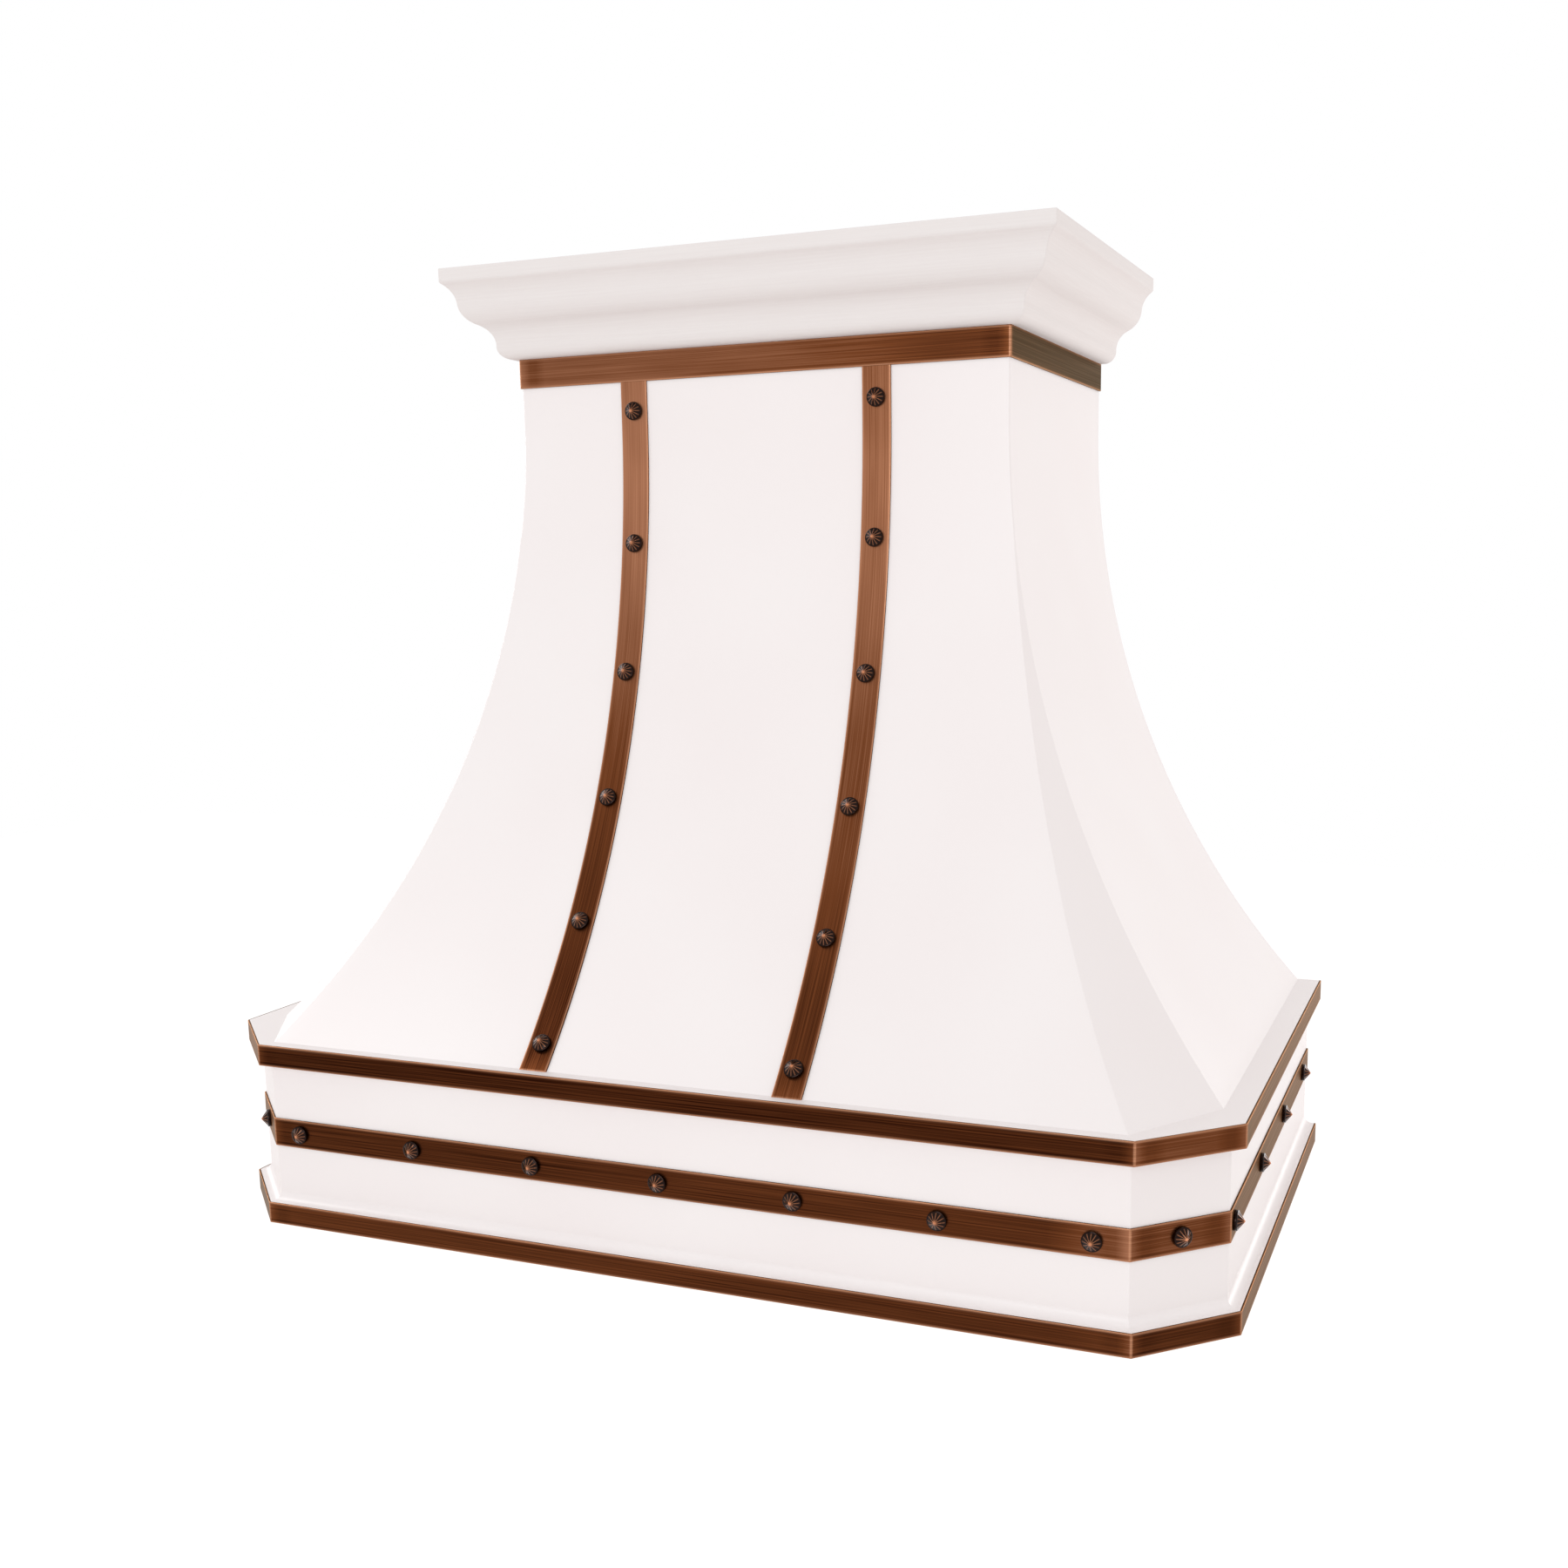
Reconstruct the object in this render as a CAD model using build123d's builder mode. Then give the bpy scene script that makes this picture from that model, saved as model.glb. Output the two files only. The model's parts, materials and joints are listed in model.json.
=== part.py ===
from build123d import *
from collections import namedtuple
from math import acos, asin, cos, degrees, hypot, radians, sin, sqrt
import os

# A wall-mounted range hood: a bell-shaped canopy over a straight octagonal apron, with a crown
# moulding, copper bands, straps and clavos, a liner with baffle filters, and a fan under the duct.
# Millimetres, +Z up. The front faces -Y and the wall is at +Y. The origin is at the middle of the
# base, on the rim that the hood stands on. Left and right are as seen from the front.

os.makedirs("parts", exist_ok=True)

# Whole hood
hood_width = 914.4
hood_depth = 546.1
front_y = -hood_depth / 2
wall_y = hood_depth / 2

# Sheet, strip and gaps
shell_sheet = 1.5
liner_sheet = 1.2
copper_strip = 1.6
copper_edge = 0.5
seam = 0.1
running_gap = 0.05
moving_gap = 0.5

# Apron and its two ledges
apron_height = 165.1
apron_setback = 11.6
corner_leg = 68.3
ledge_band_height = 19.05
middle_band_height = 25.4
turned_flange = 12.0
shelf_support = 23.0
cove_size = 8.0

# Bell: the chimney is plumb down to a little below its band, and each panel then curves out
chimney_width = 458.0
chimney_setback = 230.0
curve_top_drop = 39.1
front_shelf = 13.0
side_shelf = 22.0
back_flange = 20.0

# Corner panels: they start as a point and widen to these runs along the side and the front
corner_top_drop = 39.5
corner_tip_drop = 58.0
corner_side_run = 54.0
corner_front_run = 85.0

# Crown moulding, member by member from the chimney face out and from the bottom up
crown_bottom_z = 762.0
crown_foot = 6.0
bead_reach = 10.0
bead_height = 12.2
cove_reach = 11.0
cove_height = 17.0
ovolo_reach = 13.0
ovolo_height = 17.0
top_cove_reach = 10.8
top_cove_height = 18.0
fillet_height = 12.0
bead_swell = 0.21
cove_hollow = 0.145
ovolo_swell = 0.14
top_cove_hollow = 0.127
crown_top_recess = 3.0

# Top copper band and straps
top_band_height = 25.4
strap_width = 25.4
strap_spacing = 228.6

# Clavos
clavo_radius = 8.0
clavo_collar = 2.8
clavo_cone = 5.0
clavo_facets = 12
clavo_tip_radius = 0.5
clavo_shank_radius = 1.6
clavo_shank_reach = 1.5
clavo_seat_gap = 0.01
strap_clavo_count = 6
strap_clavo_margin = 25.4
front_clavo_count = 7
front_clavo_margin = 28.0
side_clavo_count = 4
side_clavo_margin = 15.5
side_clavo_wall_margin = 43.1

# Frame inside the chimney and rails on the wall
frame_leg = 25.0
frame_thickness = 2.0
rail_thickness = 3.0
rail_height = 40.0
lower_rail_gap = 2.05
upper_rail_drop = 38.0
wall_hole_inset = 22.8
wall_hole_radius = 4.5
rail_end_gap = 1.5
rail_screw_inset = 9.0
rail_screw_spacing = 20.0

# Liner pan with three filter windows
liner_setback = 40.0
liner_corner_gap = 1.0
liner_wall_gap = 20.0
liner_flange = 12.0
deck_z = 60.0
window_side_margin = 31.0
window_wall_margin = 47.0
window_bar = 10.0

# Baffle filters
filter_side_gap = 1.0
filter_end_gap = 1.5
filter_height = 18.0
filter_drop = 10.0
filter_lip = 8.0
baffle_width = 22.0
baffle_height = 7.0
baffle_sheet = 0.8
baffle_side_gap = 1.8
lower_baffle_count = 6
tie_bar_width = 8.0
tie_bar_spacing = 200.0
pivot_radius = 2.0
pivot_edge = 4.0
pivot_head_radius = 3.5
pivot_head = 1.5
pivot_engagement = 2.2
ear_length = 14.0
ear_drop = 11.0
handle_wire = 2.5
handle_width = 60.0
handle_drop = 22.0
handle_bend = 8.0

# Lamps
lamp_spacing = 520.0
lamp_radius = 29.0
lamp_bezel = 4.0
lamp_bezel_height = 1.6
lamp_can_height = 20.0
lamp_edge = 5.0
lamp_plenum_gap = 1.0
lens_thickness = 2.5
lens_seat = 4.0
board_thickness = 1.6

# Rotary controls
control_spacing = 90.0
switch_width = 28.0
switch_height = 22.0
switch_neck_radius = 5.0
switch_neck_drop = 5.0
spindle_radius = 3.1
spindle_reach = 16.0
knob_radius = 14.0
knob_height = 18.0
knob_grip_width = 7.0
knob_grip_height = 5.0

# Plenum and blower box
plenum_margin = 5.0
plenum_top_z = 190.0
plenum_wall_gap = 33.0
plenum_flange = 10.0
blower_box_width = 330.0
blower_box_inset = 7.0
scroll_gap = 8.0

# Fan
fan_setback = 60.0
scroll_radius = 117.0
scroll_step = 6.0
scroll_width = 130.0
outlet_setback = 24.0
inlet_radius = 70.0
wheel_radius = 84.0
blade_depth = 16.0
blade_sheet = 1.0
blade_count = 30
blade_angle = 30.0
wheel_width = 104.0
wheel_ring = 1.5
hub_radius = 12.0
hub_length = 20.0
shaft_radius = 4.0
motor_radius = 45.0
motor_length = 70.0
motor_face = 15.0
motor_edge = 4.0
bracket_ring_width = 3.0
bracket_width = 12.0
bracket_reach = 90.0
bracket_plate = 2.0
bracket_hold = 10.0

# Duct collar and backdraft flaps
collar_radius = 101.2
collar_height = 88.0
collar_plate_margin = 16.8
collar_plate_gap = 10.0
damper_rise = 14.0
flap_gap = 2.0
flap_sheet = 0.8
damper_rod_radius = 1.5
barrel_radius = 2.6
barrel_length = 180.0
damper_rod_spacing = 6.4
stop_reach = 8.0
stop_width = 12.0

# Junction box
junction_width = 90.0
junction_depth = 60.0
junction_height = 45.0
junction_side_inset = 41.0
junction_back_inset = 25.0
knockout_radius = 11.1

# Screws
screw_radius = 2.0
screw_hole_radius = 2.2
screw_head_radius = 3.8
screw_head = 2.3
liner_screw_spacing = 150.0
collar_screw_inset = 12.0

# Heights of the shell, from the crown down
crown_overhang = crown_foot + bead_reach + cove_reach + ovolo_reach + top_cove_reach
crown_height = bead_height + cove_height + ovolo_height + top_cove_height + fillet_height
hood_height = crown_bottom_z + crown_height
panel_top_z = hood_height - crown_top_recess
top_band_z = crown_bottom_z - top_band_height
curve_top_z = top_band_z - curve_top_drop
corner_top_z = curve_top_z - corner_top_drop
corner_tip_z = corner_top_z - corner_tip_drop
upper_ledge_z = apron_height - ledge_band_height
middle_band_z = (ledge_band_height + upper_ledge_z - middle_band_height) / 2
clavo_band_z = middle_band_z + middle_band_height / 2

# Chimney and rails
chimney_half = chimney_width / 2
chimney_y = front_y + chimney_setback
apron_back = apron_setback + shell_sheet
flange_inner = apron_back + turned_flange
upper_rail_z = crown_bottom_z - upper_rail_drop
lower_rail_z = upper_ledge_z - lower_rail_gap - rail_height / 2
rail_y = wall_y - shell_sheet
rail_front_y = rail_y - rail_thickness

# Liner, which clears the flanges at the 45 degree corners, and its windows behind the lamp strip
liner_side_setback = corner_leg + (flange_inner + liner_corner_gap) * sqrt(2) - liner_setback
liner_width = hood_width - 2 * liner_side_setback
liner_front_y = front_y + liner_setback
liner_back_y = wall_y - liner_wall_gap
deck_top_z = deck_z + liner_sheet
strip_y = liner_front_y + lamp_edge + lamp_bezel + lamp_radius
plenum_front_y = strip_y + lamp_radius + lamp_plenum_gap + plenum_flange
window_front_y = plenum_front_y + plenum_margin
window_back_y = liner_back_y - window_wall_margin
window_length = window_back_y - window_front_y
window_width = (liner_width - 2 * window_side_margin - 2 * window_bar) / 3
window_pitch = window_width + window_bar
filter_z = deck_z - filter_drop
filter_places = {"left": -window_pitch, "centre": 0, "right": window_pitch}

# Duct and fan, from the wall forward and from the plenum up
collar_plate = 2 * (collar_radius + collar_plate_margin)
collar_inner = collar_radius - liner_sheet
plenum_back_y = wall_y - plenum_wall_gap
box_back_y = plenum_back_y - blower_box_inset
duct_y = box_back_y - collar_plate_gap - collar_plate / 2
fan_y = duct_y - fan_setback
fan_z = plenum_top_z + scroll_radius + scroll_gap
box_front_y = fan_y - scroll_radius
box_top_z = fan_z + scroll_radius


# Outline of the ledges, from wall to wall round the front, moved in by a setback
def ledge_outline(setback):
    half = hood_width / 2 - setback
    front = front_y + setback
    leg = corner_leg - setback * (2 - sqrt(2))
    return [
        (-half, wall_y),
        (-half, front + leg),
        (-half + leg, front),
        (half - leg, front),
        (half, front + leg),
        (half, wall_y),
    ]


# Outline of the chimney at a depth inside its face, or outside it where the depth is negative
def chimney_outline(depth):
    half = chimney_half - depth
    front = chimney_y + depth
    return [(-half, wall_y), (-half, front), (half, front), (half, wall_y)]


# Band between two outlines, standing up from a height
def band(outer, inner, bottom, height):
    with BuildSketch(Plane.XY.offset(bottom)) as ring:
        Polygon(*outer)
        Polygon(*inner, mode=Mode.SUBTRACT)
    extrude(ring.sketch, amount=height)


# Box between its lowest and highest corners, added or cut
def block(low, high, mode=Mode.ADD):
    size = [b - a for a, b in zip(low, high)]
    middle = [(a + b) / 2 for a, b in zip(low, high)]
    with Locations(tuple(middle)):
        Box(*size, mode=mode)


# Chamfers on the long edges of a copper strip's outer face, where the setback is zero
def ease_strip_edges(strip, setback):
    level = strip.edges().filter_by(lambda edge: abs(edge.tangent_at(0).Z) < 0.01)
    outer = level.filter_by(
        lambda edge: all(abs(setback(v.X, v.Y)) < copper_edge / 2 for v in edge.vertices())
    )
    chamfer(outer, copper_edge)


# How far a point lies inside the ledge outline, measured to the nearest of its sides
def ledge_depth(x, y):
    side = hood_width / 2 - abs(x)
    front = y - front_y
    return min(side, front, (side + front - corner_leg) / sqrt(2))


# How far a point lies inside the chimney's face
def chimney_depth(x, y):
    return min(chimney_half - abs(x), y - chimney_y)


# Sketch plane that looks along a panel: local x points outward and local y points up
def view(outward, origin=(0, 0, 0)):
    x, y = outward
    return Plane(origin=origin, x_dir=(x, y, 0), z_dir=(y, -x, 0))


# The circle that a panel's face follows seen along the panel, and the height where it goes plumb
Curve = namedtuple("Curve", "centre height radius top")


# How far out a panel's face stands at a height, at a depth inside the panel
def reach(curve, z, depth=0):
    drop = curve.height - min(z, curve.top)
    return curve.centre - sqrt((curve.radius + depth) ** 2 - drop**2)


# Radius of an arc that starts plumb and runs out by run over a fall of rise
def plumb_arc_radius(run, rise):
    return (run**2 + rise**2) / (2 * run)


# Curve of a panel from the plumb chimney face to its foot on the ledge
def bell_curve(chimney_reach, foot_reach):
    radius = plumb_arc_radius(foot_reach - chimney_reach, curve_top_z - apron_height)
    return Curve(chimney_reach + radius, curve_top_z, radius, curve_top_z)


front_way = (0, -1)
side_way = (1, 0)
front_curve = bell_curve(-chimney_y, -front_y - front_shelf)
side_curve = bell_curve(chimney_half, hood_width / 2 - side_shelf)

corner_width = hypot(corner_side_run, corner_front_run)
corner_way = (corner_front_run / corner_width, -corner_side_run / corner_width)
corner_rise = corner_top_z - apron_height
crease_radius = plumb_arc_radius(corner_side_run, corner_rise)


# How far out a corner panel's face stands at a height
def corner_reach(z):
    side_run = crease_radius - sqrt(crease_radius**2 - (corner_top_z - z) ** 2)
    x = reach(side_curve, z) - side_run
    y = -reach(front_curve, z)
    return corner_way[0] * x + corner_way[1] * y


# The circle through a corner panel's foot, middle and top
def corner_circle():
    low, middle, high = [(corner_reach(z), z) for z in
                         (apron_height, apron_height + corner_rise / 2, corner_top_z)]
    a, b = [(p[0] - low[0], p[1] - low[1]) for p in (middle, high)]
    twist = 2 * (a[0] * b[1] - a[1] * b[0])
    size_a = a[0] ** 2 + a[1] ** 2
    size_b = b[0] ** 2 + b[1] ** 2
    out = (b[1] * size_a - a[1] * size_b) / twist
    up = (a[0] * size_b - b[0] * size_a) / twist
    return Curve(low[0] + out, low[1] + up, hypot(out, up), corner_top_z)


corner_curve = corner_circle()


# Face between a panel's surface at a depth and a plumb line, seen along the panel
def bell_face(curve, depth, plumb_line, bottom=apron_height, top=panel_top_z, mode=Mode.ADD):
    arc_top = min(curve.top, top)
    heights = (bottom, (bottom + arc_top) / 2, arc_top)
    low, middle, high = [(reach(curve, z, depth), z) for z in heights]
    with BuildLine() as edge:
        ThreePointArc(low, middle, high)
        if top > arc_top:
            Line(high, (high[0], top))
        Polyline((high[0], top), (plumb_line, top), (plumb_line, bottom), low)
    make_face(edge.edges(), mode=mode)


# Solid on one side of a panel's surface, out to a plumb line
def bell_body(way, curve, depth, plumb_line, half_length, top=panel_top_z, mode=Mode.ADD):
    with BuildSketch(view(way)) as region:
        bell_face(curve, depth, plumb_line, top=top)
    extrude(region.sketch, amount=half_length, both=True, mode=mode)


# Curved sheet between two depths of a panel
def bell_sheet(way, curve, outer, inner, plumb_line, half_length, origin=(0, 0, 0),
               bottom=apron_height, top=panel_top_z):
    with BuildSketch(view(way, origin)) as section:
        bell_face(curve, outer, plumb_line, bottom, top)
        bell_face(curve, inner, plumb_line, bottom, top, mode=Mode.SUBTRACT)
    extrude(section.sketch, amount=half_length, both=True)


# Clavo: a low round collar, a faceted point and a shank that goes through the strip and the sheet
clavo_shank_length = copper_strip + seam + shell_sheet + clavo_shank_reach
with BuildPart() as clavo:
    Cylinder(clavo_radius, clavo_collar, align=(Align.CENTER, Align.CENTER, Align.MIN))
    with BuildSketch(Plane.XY.offset(clavo_collar)):
        RegularPolygon(clavo_radius, clavo_facets)
    with BuildSketch(Plane.XY.offset(clavo_collar + clavo_cone)):
        RegularPolygon(clavo_tip_radius, clavo_facets)
    loft(ruled=True)
    Cylinder(clavo_shank_radius, clavo_shank_length,
             align=(Align.CENTER, Align.CENTER, Align.MAX))

clavo_hole_radius = clavo_shank_radius + 2 * seam
clavo_hole_depth = clavo_shank_length


# Place of a clavo on the middle band, facing out of it
def band_clavo_plane(x, y, way):
    return Plane(origin=(x, y, clavo_band_z), x_dir=(-way[1], way[0], 0), z_dir=(way[0], way[1], 0))


# Clavo places on the front, the two corners and the two sides of the middle band
band_setback = apron_setback - copper_strip
band_face = ledge_outline(band_setback)
front_clavo_reach = band_face[3][0] - front_clavo_margin
front_clavo_pitch = 2 * front_clavo_reach / (front_clavo_count - 1)
front_clavo_planes = [
    band_clavo_plane(n * front_clavo_pitch - front_clavo_reach, band_face[3][1], front_way)
    for n in range(front_clavo_count)
]
corner_clavo_x = (band_face[3][0] + band_face[4][0]) / 2
corner_clavo_y = (band_face[3][1] + band_face[4][1]) / 2
diagonal = sqrt(0.5)
side_clavo_y = band_face[4][1] + side_clavo_margin
side_clavo_pitch = (wall_y - side_clavo_wall_margin - side_clavo_y) / (side_clavo_count - 1)
corner_clavo_planes = [
    band_clavo_plane(side * corner_clavo_x, corner_clavo_y, (side * diagonal, -diagonal))
    for side in (-1, 1)
]
side_clavo_planes = {
    side: [
        band_clavo_plane(side * band_face[4][0], side_clavo_y + n * side_clavo_pitch, (side, 0))
        for n in range(side_clavo_count)
    ]
    for side in (-1, 1)
}

# Straps follow the front panel's curve: places on them are measured down along the curve
strap_depth = -(seam + copper_strip)
strap_radius = front_curve.radius + strap_depth
strap_plumb = top_band_z - curve_top_z
strap_foot_z = apron_height + seam
strap_curve_length = strap_radius * asin((curve_top_z - strap_foot_z) / strap_radius)
strap_length = strap_plumb + strap_curve_length
strap_clavo_pitch = (strap_length - 2 * strap_clavo_margin) / (strap_clavo_count - 1)
clavo_seat_lift = clavo_radius**2 / (2 * strap_radius) + clavo_seat_gap


# Place on a strap's face at a distance down from its top
def strap_plane(x, distance):
    turn = max(distance - strap_plumb, 0) / strap_radius
    drop = min(distance, strap_plumb) + strap_radius * sin(turn)
    out = front_curve.centre - strap_radius * cos(turn)
    outward = Vector(0, -cos(turn), sin(turn))
    seat = Vector(x, -out, top_band_z - drop) + outward * clavo_seat_lift
    return Plane(origin=seat, x_dir=(1, 0, 0), z_dir=outward)


strap_clavo_planes = {
    side: [
        strap_plane(side * strap_spacing / 2, strap_clavo_margin + n * strap_clavo_pitch)
        for n in range(strap_clavo_count)
    ]
    for side in (-1, 1)
}


# Round holes for clavo shanks
def clavo_holes(planes):
    with Locations(*planes):
        Cylinder(clavo_hole_radius, 2 * clavo_hole_depth, mode=Mode.SUBTRACT)


# Bell panels: the front panel is cut by the sides' and the corners' surfaces
with BuildPart() as side_region:
    bell_body(side_way, side_curve, 0, 0, hood_depth / 2)

with BuildPart() as corner_region:
    bell_body(corner_way, corner_curve, 0, -hood_width, hood_width)

with BuildPart() as behind_front:
    bell_body(front_way, front_curve, shell_sheet + seam, -hood_depth / 2, hood_width / 2)

with BuildPart() as front_half:
    bell_sheet(front_way, front_curve, 0, shell_sheet, -hood_depth / 2, hood_width / 2)
    add(side_region.part, mode=Mode.INTERSECT)
    add(corner_region.part, mode=Mode.INTERSECT)

with BuildPart() as front_panel:
    add(front_half.part)
    mirror(front_half.part, about=Plane.YZ)
    for side in (-1, 1):
        clavo_holes(strap_clavo_planes[side])
front_panel.part.label = "front_panel"
export_step(front_panel.part, "parts/front_panel.step")

with BuildPart() as right_corner_panel:
    bell_sheet(corner_way, corner_curve, 0, shell_sheet, -hood_width, hood_width, top=corner_tip_z)
    add(side_region.part, mode=Mode.INTERSECT)
    add(behind_front.part, mode=Mode.INTERSECT)
right_corner_panel.part.label = "right_corner_panel"
export_step(right_corner_panel.part, "parts/right_corner_panel.step")

with BuildPart() as left_corner_panel:
    mirror(right_corner_panel.part, about=Plane.YZ)
left_corner_panel.part.label = "left_corner_panel"
export_step(left_corner_panel.part, "parts/left_corner_panel.step")

# Side panels, each with a flange turned in on the wall
rail_screw_x = chimney_half - rail_screw_inset
upper_rail_screws = [
    (side * rail_screw_x, upper_rail_z + step * rail_screw_spacing / 2)
    for side in (-1, 1) for step in (-1, 1)
]


# Holes through a rail and the flanges behind it, at places given as x and z
def rail_holes(places, radius=screw_hole_radius):
    wall_view = Plane(origin=(0, wall_y, 0), x_dir=(1, 0, 0), z_dir=(0, -1, 0))
    with BuildSketch(wall_view) as holes:
        with Locations(*places):
            Circle(radius)
    extrude(holes.sketch, amount=2 * (shell_sheet + rail_thickness), mode=Mode.SUBTRACT)


with BuildPart() as right_side_panel:
    bell_sheet(side_way, side_curve, 0, shell_sheet, 0, hood_depth / 2)
    with BuildSketch(view(side_way, (0, wall_y, 0))) as turned:
        bell_face(side_curve, 0, 0)
        bell_face(side_curve, back_flange, 0, mode=Mode.SUBTRACT)
    extrude(turned.sketch, amount=shell_sheet)
    add(behind_front.part, mode=Mode.INTERSECT)
    add(corner_region.part, mode=Mode.INTERSECT)
    bell_body(corner_way, corner_curve, shell_sheet + seam, hood_width, hood_width,
              top=corner_tip_z + seam, mode=Mode.SUBTRACT)
    rail_holes(upper_rail_screws)
right_side_panel.part.label = "right_side_panel"
export_step(right_side_panel.part, "parts/right_side_panel.step")

with BuildPart() as left_side_panel:
    mirror(right_side_panel.part, about=Plane.YZ)
left_side_panel.part.label = "left_side_panel"
export_step(left_side_panel.part, "parts/left_side_panel.step")

# Ledges: channels that are open towards the inside
upper_shelf_inner = side_shelf + shelf_support
web_inner = copper_strip + shell_sheet

with BuildPart() as upper_ledge:
    band(ledge_outline(copper_strip), ledge_outline(web_inner), upper_ledge_z, ledge_band_height)
    band(ledge_outline(copper_strip), ledge_outline(upper_shelf_inner),
         apron_height - shell_sheet, shell_sheet)
    band(ledge_outline(copper_strip), ledge_outline(flange_inner), upper_ledge_z, shell_sheet)
upper_ledge.part.label = "upper_ledge"
export_step(upper_ledge.part, "parts/upper_ledge.step")

# Liner opening in the lower ledge, as large as the inside of the liner's walls
liner_half = liner_width / 2 - liner_sheet
liner_opening = [
    (-liner_half, liner_front_y + liner_sheet),
    (liner_half, liner_front_y + liner_sheet),
    (liner_half, liner_back_y - liner_sheet),
    (-liner_half, liner_back_y - liner_sheet),
]
flange_middle = liner_width / 2 + liner_flange / 2
liner_middle_y = (liner_front_y + liner_back_y) / 2
liner_screw_places = [
    (side * flange_middle, liner_middle_y + step * liner_screw_spacing)
    for side in (-1, 1) for step in (-1, 0, 1)
]
liner_screw_places += [
    (side * liner_screw_spacing, liner_front_y - liner_flange / 2) for side in (-1, 1)
]


# Upright round holes at places given as x and y
def upright_holes(places, radius, bottom, height):
    with BuildSketch(Plane.XY.offset(bottom)) as holes:
        with Locations(*places):
            Circle(radius)
    extrude(holes.sketch, amount=height, mode=Mode.SUBTRACT)


# Path of the cove: along the foot of the apron, from wall to wall
with BuildLine() as cove_path:
    Polyline(*[(x, y, ledge_band_height) for x, y in ledge_outline(apron_setback)])

with BuildPart() as lower_ledge:
    band(ledge_outline(copper_strip), ledge_outline(web_inner), 0, ledge_band_height)
    band(ledge_outline(copper_strip), ledge_outline(flange_inner),
         ledge_band_height - shell_sheet, shell_sheet)
    band(ledge_outline(copper_strip), liner_opening, 0, shell_sheet)
    upright_holes(liner_screw_places, screw_hole_radius, 0, shell_sheet)
    with BuildSketch(Plane(origin=cove_path.line @ 0, x_dir=(-1, 0, 0), z_dir=(0, 1, 0))) as cove:
        with BuildLine() as edge:
            Line((0, 0), (cove_size, 0))
            CenterArc((cove_size, cove_size), cove_size, 180, 90)
            Line((0, cove_size), (0, 0))
        make_face(edge.edges())
    sweep(cove.sketch, path=cove_path.line, transition=Transition.RIGHT)
lower_ledge.part.label = "lower_ledge"
export_step(lower_ledge.part, "parts/lower_ledge.step")

# Apron sheets: one folded outline, parted on the mitres where the corners meet the sides
apron_bottom_z = ledge_band_height
apron_sheet_height = upper_ledge_z - apron_bottom_z
mitre_corner = ledge_outline(apron_setback)[4]
rear_mitre = Plane(origin=(*mitre_corner, 0), x_dir=(-1, sqrt(2) - 1, 0), z_dir=(sqrt(2) - 1, 1, 0))
rear_mitre_left = Plane(origin=(-mitre_corner[0], mitre_corner[1], 0), x_dir=(1, sqrt(2) - 1, 0),
                        z_dir=(1 - sqrt(2), 1, 0))
lower_rail_screw_x = hood_width / 2 - apron_back - back_flange + rail_screw_inset
lower_rail_screws = [
    (side * lower_rail_screw_x, lower_rail_z + step * rail_screw_spacing / 2)
    for side in (-1, 1) for step in (-1, 1)
]

with BuildPart() as apron:
    band(ledge_outline(apron_setback), ledge_outline(apron_back), apron_bottom_z, apron_sheet_height)
    for bottom in (apron_bottom_z, upper_ledge_z - shell_sheet):
        band(ledge_outline(apron_setback), ledge_outline(flange_inner), bottom, shell_sheet)
    for side in (-1, 1):
        edge_x = side * (hood_width / 2 - apron_setback)
        inner_x = edge_x - side * (shell_sheet + back_flange)
        block((min(edge_x, inner_x), wall_y - shell_sheet, apron_bottom_z),
              (max(edge_x, inner_x), wall_y, upper_ledge_z))
    clavo_holes(front_clavo_planes + corner_clavo_planes)
    clavo_holes(side_clavo_planes[-1] + side_clavo_planes[1])
    rail_holes(lower_rail_screws)

with BuildPart() as apron_front:
    add(apron.part)
    split(bisect_by=rear_mitre, keep=Keep.BOTTOM)
    split(bisect_by=rear_mitre_left, keep=Keep.BOTTOM)
apron_front.part.label = "apron_front"
export_step(apron_front.part, "parts/apron_front.step")

with BuildPart() as apron_right:
    add(apron.part)
    split(bisect_by=rear_mitre, keep=Keep.TOP)
    split(bisect_by=Plane.YZ, keep=Keep.TOP)
apron_right.part.label = "apron_right"
export_step(apron_right.part, "parts/apron_right.step")

with BuildPart() as apron_left:
    mirror(apron_right.part, about=Plane.YZ)
apron_left.part.label = "apron_left"
export_step(apron_left.part, "parts/apron_left.step")

# Crown moulding


# Profile of the crown: local x is the overhang from the chimney face, local y is the height
def crown_face():
    foot = (crown_foot, crown_bottom_z)
    bead = (foot[0] + bead_reach, foot[1] + bead_height)
    cove = (bead[0] + cove_reach, bead[1] + cove_height)
    ovolo = (cove[0] + ovolo_reach, cove[1] + ovolo_height)
    top_cove = (ovolo[0] + top_cove_reach, ovolo[1] + top_cove_height)
    members = [(foot, bead, -bead_swell), (bead, cove, cove_hollow),
               (cove, ovolo, -ovolo_swell), (ovolo, top_cove, top_cove_hollow)]
    with BuildLine() as edge:
        for start, end, bulge in members:
            SagittaArc(start, end, bulge * hypot(end[0] - start[0], end[1] - start[1]))
        Polyline(top_cove, (top_cove[0], hood_height), (0, hood_height), (0, crown_bottom_z), foot)
    make_face(edge.edges())


crown_half = chimney_half + crown_overhang
front_mitre = Plane(origin=(chimney_half, chimney_y, 0), x_dir=(1, -1, 0), z_dir=(1, 1, 0))
front_mitre_left = Plane(origin=(-chimney_half, chimney_y, 0), x_dir=(1, 1, 0), z_dir=(-1, 1, 0))

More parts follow.
